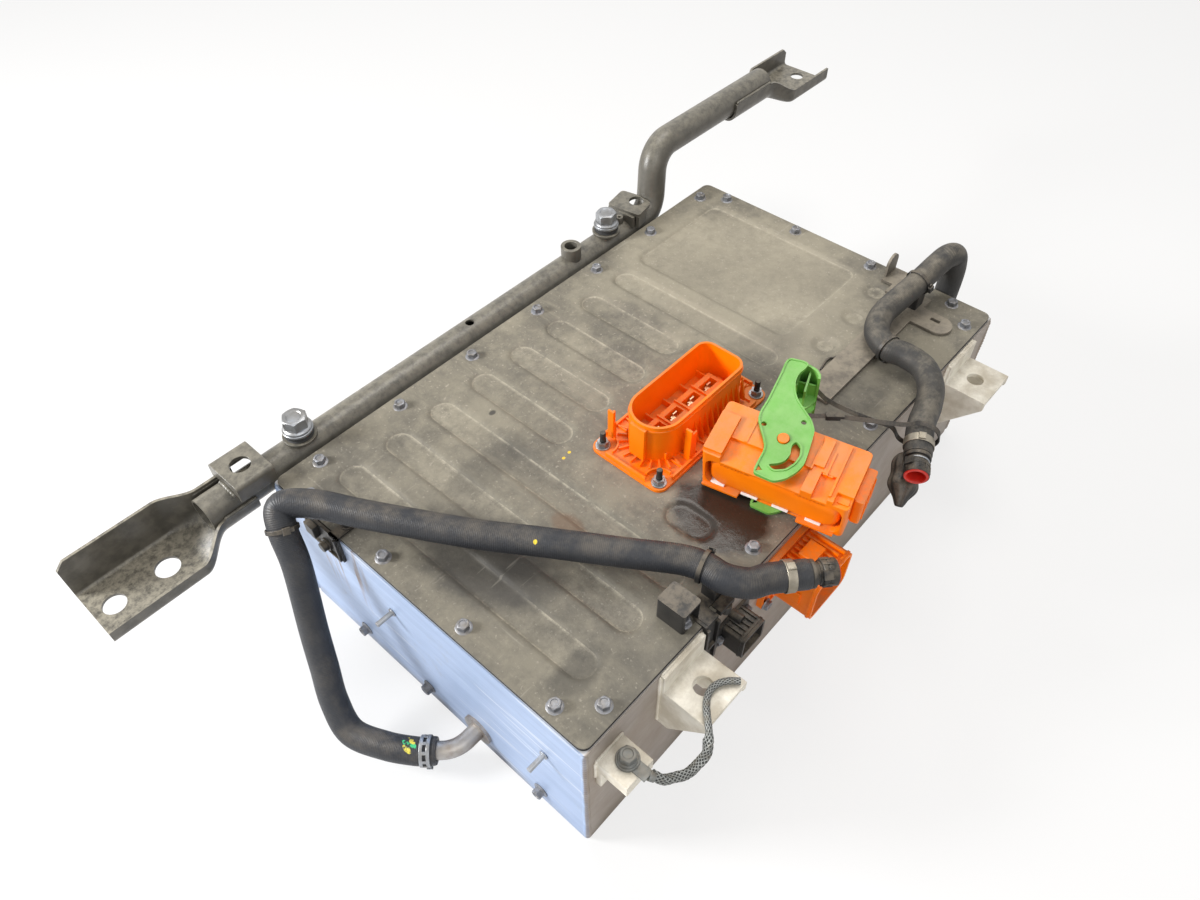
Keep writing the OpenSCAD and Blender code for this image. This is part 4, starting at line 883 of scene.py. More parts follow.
@dataclass(frozen=True)
class HoseRubber(Finish):
    """Moulded hose: fine rings along it and a faint helical weave, with dust that catches on top
    and dots of yellow and green paint."""

    ring_pitch: float = 1.6
    yellow: Colour = (0.8, 0.6, 0.05)
    marks: tuple[tuple[float, float, Colour], ...] = (
        (-391, -33, (0.05, 0.5, 0.2)), (-394, -27, (0.05, 0.5, 0.2)),
        (-397, -31, (0.7, 0.6, 0.08)), (-389, -28, (0.7, 0.6, 0.08)),
    )

    def build(self) -> bpy.types.Material:
        """Makes the material. The rings follow the UV, whose V is millimetres along the hose."""
        b = Bench(self.name)
        rings = b.sum("SINE", b.times(b.along()[1], 2 * math.pi / self.ring_pitch))
        weave = b.sum("ADD", b.times(b.strands(20, 1.1), 0.5), rings)
        colour = b.mix(b.between(b.noise(22, 5), 0.35, 0.7), self.colour, self.patch)
        dusty = b.between(b.noise(34, 8, rough=0.7), 0.38, 0.7)
        caught = b.scaled(b.between(rings, -0.6, 0.8), 0.6, 1.0)
        colour = b.tint(colour, self.dust, dusty, b.facing_up(), caught, self.dust_share)
        colour = b.tint(colour, self.yellow, b.spot(-237.6, -54.9, (1.7, 1.7), 0.2, 0.05))
        for sx, sy, paint in self.marks:
            worn = b.between(b.noise(260, 4), 0.42, 0.55)
            colour = b.tint(colour, paint, b.spot(sx, sy, (2.2, 5), 0.3), worn)
        return b.finish(Base_Color=colour, Roughness=b.scaled(b.noise(50, 4), *self.roughness),
                        Specular_IOR_Level=self.shine,
                        Normal=b.bump(b.noise(90, 4), 0.0003, b.bump(weave, 0.00006)))


@dataclass(frozen=True)
class Braid(Finish):
    """Tinned copper braid: grey on top of its strands, with painted shade dark in their grooves."""

    def build(self) -> bpy.types.Material:
        """Makes the material. The strands follow the UV."""
        b = Bench(self.name)
        strands = b.times(b.sum("ADD", b.strands(8, 1.5), 1.0), 0.5)
        # Painted shade: the grooves between strands turn dark, their tops grey.
        colour = b.mix(b.between(strands, 0.45, 0.95), self.patch, self.colour)
        colour = b.tint(colour, self.dust, b.between(b.noise(120, 4), 0.5, 0.7), 0.5)
        return b.finish(Base_Color=colour, Roughness=0.5, Metallic=self.metal,
                        Normal=b.bump(strands, 0.0004))


DUST: Colour = (0.3, 0.25, 0.185)
COVER = CoverPaint("cover_paint", "cover_paint", (0.118, 0.109, 0.09), (0.16, 0.147, 0.12),
                   dust=(0.285, 0.26, 0.2), dust_share=0.85, roughness=(0.42, 0.62))
CASE = CaseMetal("case_metal", "case_metal", (0.5, 0.5, 0.51), (0.66, 0.66, 0.67),
                 dust=(0.25, 0.19, 0.135), roughness=(0.36, 0.55), metal=0.35)
BRACKET = Finish("bracket_metal", "bracket_metal", (0.88, 0.85, 0.76), (0.6, 0.55, 0.45), 34,
                 DUST, 0.3, (0.4, 0.6), 0.15, 0.00025, 400)
TUBE = Finish("tube_paint", "tube_paint", (0.085, 0.08, 0.067), (0.115, 0.107, 0.089), 60,
              (0.27, 0.25, 0.2), 0.6, (0.26, 0.44), 0.0, 0.00015, 500)
PAN = Finish("pan_paint", "tube_paint", (0.075, 0.07, 0.058), (0.125, 0.115, 0.095), 80,
             (0.32, 0.295, 0.235), 0.85, (0.26, 0.44), 0.0, 0.00015, 500)
SHEET = Finish("sheet_paint", "cover_paint", (0.15, 0.133, 0.11), (0.22, 0.195, 0.16), 30,
               (0.34, 0.3, 0.235), 0.75, (0.4, 0.6), 0.0, 0.0001, 600, 0.35)
ZINC = Finish("zinc_steel", "zinc_steel", (0.4, 0.42, 0.45), (0.25, 0.255, 0.26), 60,
              DUST, 0.25, (0.3, 0.5), 0.85, 0.00006, 800)
PIPE = Finish("pipe_steel", "zinc_steel", (0.42, 0.4, 0.38), (0.26, 0.22, 0.19), 60,
              DUST, 0.3, (0.35, 0.55), 0.8, 0.00008, 800)
BOLT = Finish("dark_steel", "dark_steel", (0.27, 0.285, 0.32), (0.15, 0.15, 0.155), 110,
              DUST, 0.3, (0.38, 0.58), 0.55, 0.00005, 800)
DULL = Finish("dull_zinc", "dark_steel", (0.22, 0.23, 0.225), (0.14, 0.14, 0.13), 90,
              DUST, 0.35, (0.5, 0.66), 0.5, 0.00008, 800)
CRIMP = Finish("crimp_band", "zinc_steel", (0.36, 0.33, 0.27), (0.24, 0.215, 0.17), 90,
               DUST, 0.25, (0.34, 0.5), 0.7, 0.00006, 800)
ORANGE = Finish("orange_plastic", "orange_plastic", (1.0, 0.225, 0.0), (0.93, 0.185, 0.0), 20,
                (0.4, 0.235, 0.11), 0.5, (0.32, 0.46), 0.0, 0.00004, 900, 0.3)
GREEN = Finish("green_plastic", "green_plastic", (0.17, 0.46, 0.085), (0.13, 0.38, 0.06), 25,
               (0.4, 0.56, 0.28), 0.2, (0.34, 0.48), 0.0, 0.00004, 900, 0.35)
BLACK = Finish("black_plastic", "black_plastic", (0.016, 0.016, 0.016), (0.03, 0.028, 0.026), 40,
               DUST, 0.45, (0.35, 0.55), 0.0, 0.0001, 700, 0.4)
WHITE = Finish("white_plastic", "white_plastic", (0.9, 0.89, 0.87), (0.82, 0.8, 0.77), 40,
               roughness=(0.4, 0.5))
RED = Finish("red_plastic", "red_plastic", (0.72, 0.03, 0.018), (0.55, 0.02, 0.012), 60,
             roughness=(0.25, 0.4))
HOSE = HoseRubber("hose_rubber", "hose_rubber", (0.022, 0.024, 0.029), (0.034, 0.036, 0.041),
                  dust=(0.24, 0.205, 0.16), dust_share=0.42, roughness=(0.4, 0.58), shine=0.35)
HOSE_DUSTY = HoseRubber("hose_rubber_dusty", "hose_rubber", (0.04, 0.04, 0.04), (0.06, 0.056, 0.05),
                        dust=(0.27, 0.24, 0.19), dust_share=0.85, roughness=(0.45, 0.62), shine=0.3)
SEAL = Finish("seal_rubber", "seal_rubber", (0.02, 0.02, 0.02), (0.03, 0.03, 0.03),
              roughness=(0.6, 0.8))
FOAM = Finish("foam", "foam", (0.1, 0.1, 0.11), (0.13, 0.13, 0.14), roughness=(0.8, 0.95))
CELL = Finish("cell_can", "cell_can", (0.35, 0.4, 0.48), (0.4, 0.44, 0.5), metal=0.6)
BOARD = Finish("board", "board", (0.02, 0.14, 0.05), (0.03, 0.17, 0.06), roughness=(0.35, 0.5))
CONTACT = Finish("contact_metal", "contact_metal", (0.8, 0.62, 0.42), (0.6, 0.42, 0.25), 80,
                 roughness=(0.25, 0.4), metal=0.9)
# Its second colour is the painted shade in the braid's grooves.
BRAID = Braid("braid", "braid", (0.3, 0.31, 0.3), (0.04, 0.042, 0.04), dust=(0.2, 0.18, 0.14),
              metal=0.5)


class Paintbox:
    """Makes each finish's material once."""

    made: dict[str, bpy.types.Material] = {}

    @classmethod
    def get(cls, finish: Finish) -> bpy.types.Material:
        """The material of a finish."""
        if finish.name not in cls.made:
            cls.made[finish.name] = finish.build()
        return cls.made[finish.name]


# Pieces


def as_object(name: str, shape: Shape) -> bpy.types.Object:
    """A mesh object at the origin, its points in metres.

    Args:
        name: name of the object.
        shape: points, faces and UV.

    Returns:
        The linked object.
    """
    mesh = bpy.data.meshes.new(name)
    mesh.from_pydata((shape.points * MM).tolist(), [], shape.faces)
    if shape.uv is not None:
        layer = mesh.uv_layers.new(name="UVMap")
        corner = np.zeros(len(mesh.loops), np.int32)
        mesh.loops.foreach_get("vertex_index", corner)
        layer.data.foreach_set("uv", shape.uv[corner].astype(np.float32).ravel())
    mesh.validate()
    made = bpy.data.objects.new(name, mesh)
    bpy.context.scene.collection.objects.link(made)
    return made


def baked(piece: bpy.types.Object) -> None:
    """Turns modifiers into the mesh.

    Args:
        piece: the object that has them.
    """
    graph = bpy.context.evaluated_depsgraph_get()
    graph.update()
    mesh = bpy.data.meshes.new_from_object(piece.evaluated_get(graph))
    piece.modifiers.clear()
    piece.data = mesh


def carved(piece: bpy.types.Object, cutter: Shape) -> None:
    """Cuts a shape out of a piece.

    Args:
        piece: the object that loses material.
        cutter: one or more closed shapes.
    """
    knife = as_object("knife", cutter)
    cut = piece.modifiers.new("cut", "BOOLEAN")
    cut.operation, cut.solver, cut.object = "DIFFERENCE", "EXACT", knife
    cut.use_self = True
    baked(piece)
    bpy.data.objects.remove(knife)


def outward(piece: bpy.types.Object) -> None:
    """Turns every face of a closed mesh to point out of it."""
    work = bmesh.new()
    work.from_mesh(piece.data)
    bmesh.ops.recalc_face_normals(work, faces=work.faces)
    work.to_mesh(piece.data)
    work.free()


def soften(piece: bpy.types.Object, width: float, angle: float) -> None:
    """Adds a bevel of a width in millimetres along edges sharper than an angle in degrees."""
    edge = piece.modifiers.new("edges", "BEVEL")
    edge.width, edge.segments = width * MM, 2
    edge.limit_method, edge.angle_limit = "ANGLE", math.radians(angle)
    edge.harden_normals = True


def paint(piece: bpy.types.Object, finish: Finish) -> None:
    """Gives a piece one material."""
    piece.data.materials.clear()
    piece.data.materials.append(Paintbox.get(finish))


def make(name: str, shape: Shape, finish: Finish, *, body: Body | None = Body.PACK,
         stands_for: tuple[str, ...] = (), cut: Shape | None = None, bevel: float = 0.0,
         thick: float = 0.0, sharp: float = 38.0) -> bpy.types.Object:
    """One finished piece on its body.

    Args:
        name: name of the piece.
        shape: its surface.
        finish: its material.
        body: the CAD body it rides on, or None to leave it on no body.
        stands_for: the CAD nodes that it replaces.
        cut: what is carved out of it.
        bevel: width of its broken edges.
        thick: sheet thickness given to an open surface, against its normals.
        sharp: edges sharper than this, in degrees, stay sharp.

    Returns:
        The object.
    """
    piece = as_object(name, shape)
    if thick:
        wall = piece.modifiers.new("thickness", "SOLIDIFY")
        wall.thickness, wall.offset, wall.use_even_offset = thick * MM, -1.0, True
        baked(piece)
    outward(piece)
    if cut is not None:
        carved(piece, cut)
    piece.data.polygons.foreach_set("use_smooth", np.ones(len(piece.data.polygons), bool))
    piece.data.set_sharp_from_angle(angle=math.radians(sharp))
    if bevel:
        soften(piece, bevel, sharp)
        baked(piece)
    paint(piece, finish)
    if body is not None:
        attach(piece, body.value)
    if stands_for:
        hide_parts(*stands_for)
    LOG.info("%s: %d faces", name, len(piece.data.polygons))
    return piece


def dress(node: bpy.types.Object, finish: Finish, bevel: float = 0.0) -> None:
    """Gives a CAD node its material, and broken edges where asked.

    Args:
        node: the CAD node.
        finish: the material.
        bevel: width of the broken edges.
    """
    paint(node, finish)
    if bevel:
        node.modifiers.new("merge", "WELD").merge_threshold = 1e-5
        flat = node.modifiers.new("flats", "DECIMATE")
        flat.decimate_type, flat.angle_limit = "DISSOLVE", math.radians(1)
        soften(node, bevel, 35)
    LOG.info("%s: CAD node, %s", node.name, finish.name)


# Sub-assemblies


@dataclass
class CoverSheet:
    """The pressed cover: a height over the plane that falls into ribs, a panel and dimples."""

    length: float = 669.0
    width: float = 397.0
    corner: float = 8.0
    depth: float = 2.5
    sheet: float = 1.5
    step: float = 2.4
    rib_width: float = 34.0
    ribs: tuple[tuple[float, float, float], ...] = (
        (0, -163, 163), (1, -163, 163), (2, -163, 163), (3, 23, 163), (3, -150, -97),
        (4, 25, 163), (5, 25, 163), (6, 25, 163), (7, -65, 163),
    )
    first_rib: float = -281.0
    rib_pitch: float = 56.5
    panel: tuple[float, float, float, float] = (227.5, 57.5, 155.0, 215.0)
    panel_corner: float = 15.0
    dimples: tuple[tuple[float, float], ...] = ((171, -87), (231, -87), (286, -82))
    dimple_radius: float = 15.5
    opening: tuple[float, float] = (60.0, 21.0)

    def depth_at(self, x: Array, y: Array) -> Array:
        """How far the sheet is pressed in: the deepest of the pressings, each a smooth step
        of the signed distance to its outline, 0 at 1.5 outside and full 5 inside. A dimple is a
        round bowl, (1 - (r / R)^2)^0.7.

        Args:
            x: places along X.
            y: as many along Y.

        Returns:
            Depths in millimetres.
        """
        def step(d: Array) -> Array:
            """Share of the full depth at a signed distance."""
            return eased((1.5 - d) / 6.5)

        half = self.rib_width / 2
        sunk = np.zeros_like(x)
        for k, low, high in self.ribs:
            dx = x - (self.first_rib + self.rib_pitch * k)
            dy = y - np.clip(y, low + half, high - half)
            sunk = np.maximum(sunk, step(np.hypot(dx, dy) - half))
        px, py, pw, ph = self.panel
        r = self.panel_corner
        qx, qy = np.abs(x - px) - pw / 2 + r, np.abs(y - py) - ph / 2 + r
        away = (np.hypot(np.maximum(qx, 0), np.maximum(qy, 0))
                + np.minimum(np.maximum(qx, qy), 0) - r)
        sunk = np.maximum(sunk, step(away))
        for cx, cy in self.dimples:
            reach = np.hypot(x - cx, y - cy) / self.dimple_radius
            sunk = np.maximum(sunk, np.clip(1 - reach ** 2, 0, 1) ** 0.7)
        return sunk * self.depth

    def surface(self) -> Shape:
        """The sheet's top: a rectangle of grid points whose corner squares are squeezed onto
        quarter circles, lowered by the pressings and by slow waves of 0.25 mm, and open under
        the header."""
        a, b, r = self.length / 2, self.width / 2, self.corner
        x, y = np.meshgrid(np.linspace(-a, a, int(2 * a / self.step)),
                           np.linspace(-b, b, int(2 * b / self.step)), indexing="ij")
        px, py = np.maximum(np.abs(x) - a + r, 0), np.maximum(np.abs(y) - b + r, 0)
        far = np.hypot(px, py)
        both = (px > 0) & (py > 0)
        k = np.where(both, np.maximum(px, py) / np.maximum(far, 1e-9), 1.0)
        x = np.where(both, np.sign(x) * (a - r + px * k), x)
        y = np.where(both, np.sign(y) * (b - r + py * k), y)
        edge = np.minimum(a - np.abs(x), b - np.abs(y))
        waves = 0.12 * (np.sin(x / 47 + 1) * np.sin(y / 39) + np.sin(x / 23) * np.sin(y / 61 + 2))
        z = Z_COVER - self.depth_at(x, y) - 0.25 + np.clip(edge / 30, 0, 1) * waves
        whole = grid(np.stack([x, y, z], -1))
        faces = np.array(whole.faces)
        away = np.abs(whole.points[faces].mean(1)[:, :2] - (HEADER_X, HEADER_Y))
        whole.faces = faces[(away >= self.opening).any(1)].tolist()
        return whole

    def build(self) -> None:
        """Makes the cover."""
        make("cover_sheet", self.surface(), COVER, stands_for=("cover",), thick=self.sheet,
             sharp=60)


@dataclass
class Fasteners:
    """Flange bolts of the cover and walls, the ground bolt and the big bolts of the tube."""

    rear: tuple[float, ...] = tuple(5.5 + 99 * i for i in range(-3, 4))
    front: tuple[float, ...] = tuple(1 + 99 * i for i in range(-3, 4))
    ends: tuple[float, ...] = tuple(104.4 * i for i in (-1.5, -0.5, 0.5, 1.5))
    wall: tuple[tuple[float, float], ...] = ((110, 19.5), (11.5, 19.5), (-142.5, 19.5))
    rail: tuple[float, ...] = (-286.0, 163.0)
    row_y: float = 184.5
    end_x: float = 322.0
    golden: float = 137.5
    ground: Triple = (-306.0, -218.0, 157.5)

    def cover_places(self) -> list[tuple[float, float]]:
        """Where the cover bolts stand."""
        return ([(x, self.row_y) for x in self.rear] + [(x, -self.row_y) for x in self.front]
                + [(x, y) for x in (-self.end_x, self.end_x) for y in self.ends])

    def build(self) -> None:
        """Makes the bolts, each turned by the golden angle from the one before."""
        one = flange_bolt(10, 6, 16, 1.5, 6, 14)
        make("cover_bolt_set", together([one.turned(self.golden * k).at(x, y, Z_COVER)
                                         for k, (x, y) in enumerate(self.cover_places())]),
             BOLT, stands_for=("cover_bolts",), sharp=30)
        make("side_bolt_set", together([one.turned(40 * k).turned(-90, "Y").at(-X_END, y, z)
                                        for k, (y, z) in enumerate(self.wall)]),
             BOLT, stands_for=("side_bolts",), sharp=30)
        washer = ring(20, 8.4, 2, soft=0.4)
        bolt = flange_bolt(13, 7, 17, 1.6, 8, 16).at(0, 0, 2)
        make("ground_bolt_set", (washer + bolt.turned(20)).at(*self.ground), DULL,
             stands_for=("ground_bolt",), sharp=30)
        self.rail_bolts()

    def rail_bolts(self) -> None:
        """The tube's bolts: head, flange, washer, rubber isolator and a dark cup under it."""
        y, top, stack = 221.5, 195.0, 207.0
        heads, washers, rubbers = [], [], []
        for k, x in enumerate(self.rail):
            heads.append(flange_bolt(22, 12, 28, 3, 14, 68.9).turned(25 + 17 * k).at(x, y, stack))
            heads.append(lathe([(2, 14.3), (6.4, 14.3), (7, 13.6), (7, 9)], 32).at(x, y, stack))
            washers.append(ring(30, 14.6, 3, soft=0.5).at(x, y, stack - 3))
            washers.append(ring(30, 14.6, 3).at(x, y, 147.9))
            rubbers.append(lathe([(7.3, 0), (14, 0), (14.4, 1), (13.2, 2), (14.4, 3.2), (14, 6),
                                  (7.3, 6)], 48, ring=True).at(x, y, top + 3))
            rubbers.append(ring(22, 14.6, 4).at(x, y, 156))
        make("rail_bolt_heads", together(heads), ZINC, stands_for=("rail_bolts",), sharp=30)
        make("rail_washer_set", together(washers), ZINC, stands_for=("rail_washers",), sharp=30)
        make("rail_isolator_set", together(rubbers), SEAL, stands_for=("rail_isolators",), sharp=40)


@dataclass
class CarryingTube:
    """The tube behind the case with its bend, its pressed end brackets, saddles and bosses."""

    diameter: float = 35.0
    wall: float = 2.5
    y: float = 221.5
    z: float = 177.5
    left: float = -400.0
    bend_x: float = 219.0
    right: float = 492.0
    radius: float = 35.0
    bend: float = 76.0
    riser: float = 27.0
    lean: float = 9.8

    def line(self, steps: int = 20) -> Array:
        """Centreline: a level run, an arc up, a straight riser, an arc back to level, and a
        level run, the rise leaning away from the case.

        Args:
            steps: points along each arc.

        Returns:
            Rows of points.
        """
        a = np.radians(np.linspace(0, self.bend, steps))
        full, tilt = math.radians(self.bend), math.radians(self.lean)
        run = 2 * self.radius * math.sin(full) + self.riser * math.cos(full)
        rise = 2 * self.radius * (1 - math.cos(full)) + self.riser * math.sin(full)
        near, up = self.radius * np.sin(a), self.radius * (1 - np.cos(a))
        flat = np.concatenate([near, (run - near)[::-1]])
        tall = np.concatenate([up, (rise - up)[::-1]])
        bent = np.stack([self.bend_x + flat, self.y + tall * math.sin(tilt),
                         self.z + tall * math.cos(tilt)], -1)
        low = [(x, self.y, self.z) for x in (self.left, self.left + 2, self.bend_x - 2)]
        high = [(x, *bent[-1, 1:]) for x in (bent[-1, 0] + 2, self.right - 2, self.right)]
        return np.vstack([low, bent, high])

    def tube(self) -> None:
        """The hollow tube with its cross holes."""
        lean = math.radians(self.lean)
        both = pipe(self.line(), (0, math.cos(lean), -math.sin(lean)), self.diameter,
                    self.diameter - 2 * self.wall, 64)
        both.uv = None
        holes = [lathe([(r, 0), (r, 40)], 40).at(x, self.y, z) for x, r, z in
                 ((-62.5, 5, 177.5), (100.5, 12.1, 177.5), (187.5, 4.6, 177.5), (-286, 11.1, 158),
                  (163, 11.1, 158))]
        make("carrying_tube", both, TUBE, stands_for=("cross_tube",), cut=together(holes))

    def end_bracket(self, name: str, node: str, x: Array, half: Array, floor: Array,
                    front: Array, rear: Array, fillet: Array, y: float,
                    holes: list[Triple], sheet: float = 3.0) -> None:
        """Pressed channel: at each x its section runs down the front wall, round a corner,
        across the floor, round a corner and up the rear wall. Its sizes are functions of x.

        Args:
            name: name of the piece.
            node: the CAD node that it replaces.
            x: stations along the bracket.
            half: half width outside at each station.
            floor: height of the underside at each station.
            front: top of the front wall at each station.
            rear: top of the rear wall at each station.
            fillet: corner radius at each station.
            y: middle of the bracket.
            holes: x, radius and floor height of each hole.
            sheet: thickness.
        """
        q = np.linspace(0, math.pi / 2, 9)[None, :]
        t = np.linspace(0, 1, 7)[None, :]
        w, low, f, r, c = (v[:, None] for v in (half, floor, front, rear, fillet))
        ys = [-w + 0 * t, -w + c * (1 - np.cos(q)), -w + c + (2 * w - 2 * c) * t,
              w - c * (1 - np.sin(q)), w + 0 * t]
        zs = [f + (low + c - f) * t, low + c * (1 - np.sin(q)), low + 0 * t,
              low + c * (1 - np.cos(q)), low + c + (r - low - c) * t]
        yy, zz = (np.hstack([v[:, :-1] for v in rows[:-1]] + rows[-1:]) for rows in (ys, zs))
        xx = np.repeat(x[:, None], yy.shape[1], 1)
        skin = grid(np.stack([xx, yy + y, zz], -1))
        knives = together([lathe([(r, -8), (r, 8)], 48).at(hx, y, hz) for hx, r, hz in holes])
        make(name, skin, PAN, stands_for=(node,), thick=sheet, cut=knives, bevel=0.5)

    def brackets(self) -> None:
        """Both end brackets: wide pans that narrow to the tube."""
        x = np.concatenate([np.linspace(-521, -430, 12), np.linspace(-427, -388, 22),
                            np.linspace(-384, -354, 6)])
        k = eased((x + 428) / 38)
        corner = np.clip((x + 521) / 8, 0, 1)
        self.end_bracket("end_bracket_left", "tube_end_bracket_left", x, 37 - 16.3 * k,
                         144.5 + 12.3 * k, 161.5 + 16 * k, 184.5 + 8 * np.sqrt(corner), 7 + 9 * k,
                         self.y, [(-502, 11, 146), (-449, 12, 146)])
        x = np.concatenate([np.linspace(410, 488, 10), np.linspace(491, 528, 20),
                            np.linspace(531, 607, 12)])
        k = eased((x - 490) / 36)
        tip = np.clip((607 - x) / 7, 0, 1)
        self.end_bracket("end_bracket_right", "tube_end_bracket_right", x, 20.7 + 16.3 * k,
                         234.8 - 10 * k, 260.8 - 17 * k, 246 + 4.8 * tip - 1.5 * (1 - tip),
                         16 - 9 * k, 235.0, [(588, 9, 226)])

    def saddles(self) -> None:
        """Pressed saddles: a flat top whose two sides turn down over the tube."""
        q = np.linspace(0, math.pi / 2, 8)
        r, w, low, top = 5.0, 24.7, 189.5, 207.5
        side, drop = w - r * (1 - np.cos(q)), top - r * (1 - np.sin(q))
        ys = np.concatenate([[-w], -side, [0], side[::-1], [w]])
        zs = np.concatenate([[low], drop, [top], drop[::-1], [low]])
        x = np.array([-370.0, -369, -350, -331, -330])
        p = np.stack(np.broadcast_arrays(x[:, None], ys + self.y, zs), -1)
        hole = lathe([(10, 0), (10, 20)], 48).at(-350, self.y, 198)
        tube = lathe([(17.6, 0), (17.6, 60)], 64).turned(90, "Y").at(-380, self.y, self.z)
        make("saddle_left", grid(p), TUBE, stands_for=("tube_saddle_left",), thick=-3.8,
             cut=hole + tube, bevel=0.6)
        make("saddle_left_web", block((-370, -366), (self.y - 22, self.y + 22), (193.5, 205)), TUBE,
             cut=tube, bevel=0.5)
        plan = rounded([(193, 24.5), (200, -20.9), (231, -14.1), (233, 10), (228, 31)], 5)
        edge = block((0, 19.5), (0, 4), (189.5, 204.5)).turned(12.4).at(200, self.y - 20.9, 0)
        rear = block((194, 198), (self.y - 16, self.y + 24), (189.5, 204.5))
        knife = tube.at(565, 0, 0) + lathe([(9.5, 0), (9.5, 20)], 48).at(222, 223.5, 198)
        make("saddle_right", prism(plan, 203.5, 207.5).at(0, self.y, 0) + edge + rear, TUBE,
             stands_for=("tube_saddle_right",), cut=knife, bevel=0.8)

    def build(self) -> None:
        """Makes the tube and what is welded to it."""
        self.tube()
        self.brackets()
        self.saddles()
        beads = [
            weld([(-330.5, 205, 192), (-329.5, 212, 193.8), (-329.5, 221.5, 195.3),
                  (-329.5, 231, 193.8), (-330.5, 238, 192)], 1.9, (0, 0.3, -1)),
            weld([(-370.5, 205, 192), (-371, 212, 193.8), (-371, 221.5, 195.3),
                  (-371, 231, 193.8)], 2.2, (0, 0.3, -1)),
        ]
        beads += [weld([(x0, y, z), (x1, y, z)], 1.9, (0, 0, 1)) for x0, x1, y, z in
                  ((-354, -390, 202.5, 178), (-354, -396, 240.5, 188), (412, 488, 216, 262))]
        make("tube_welds", together(beads), TUBE)


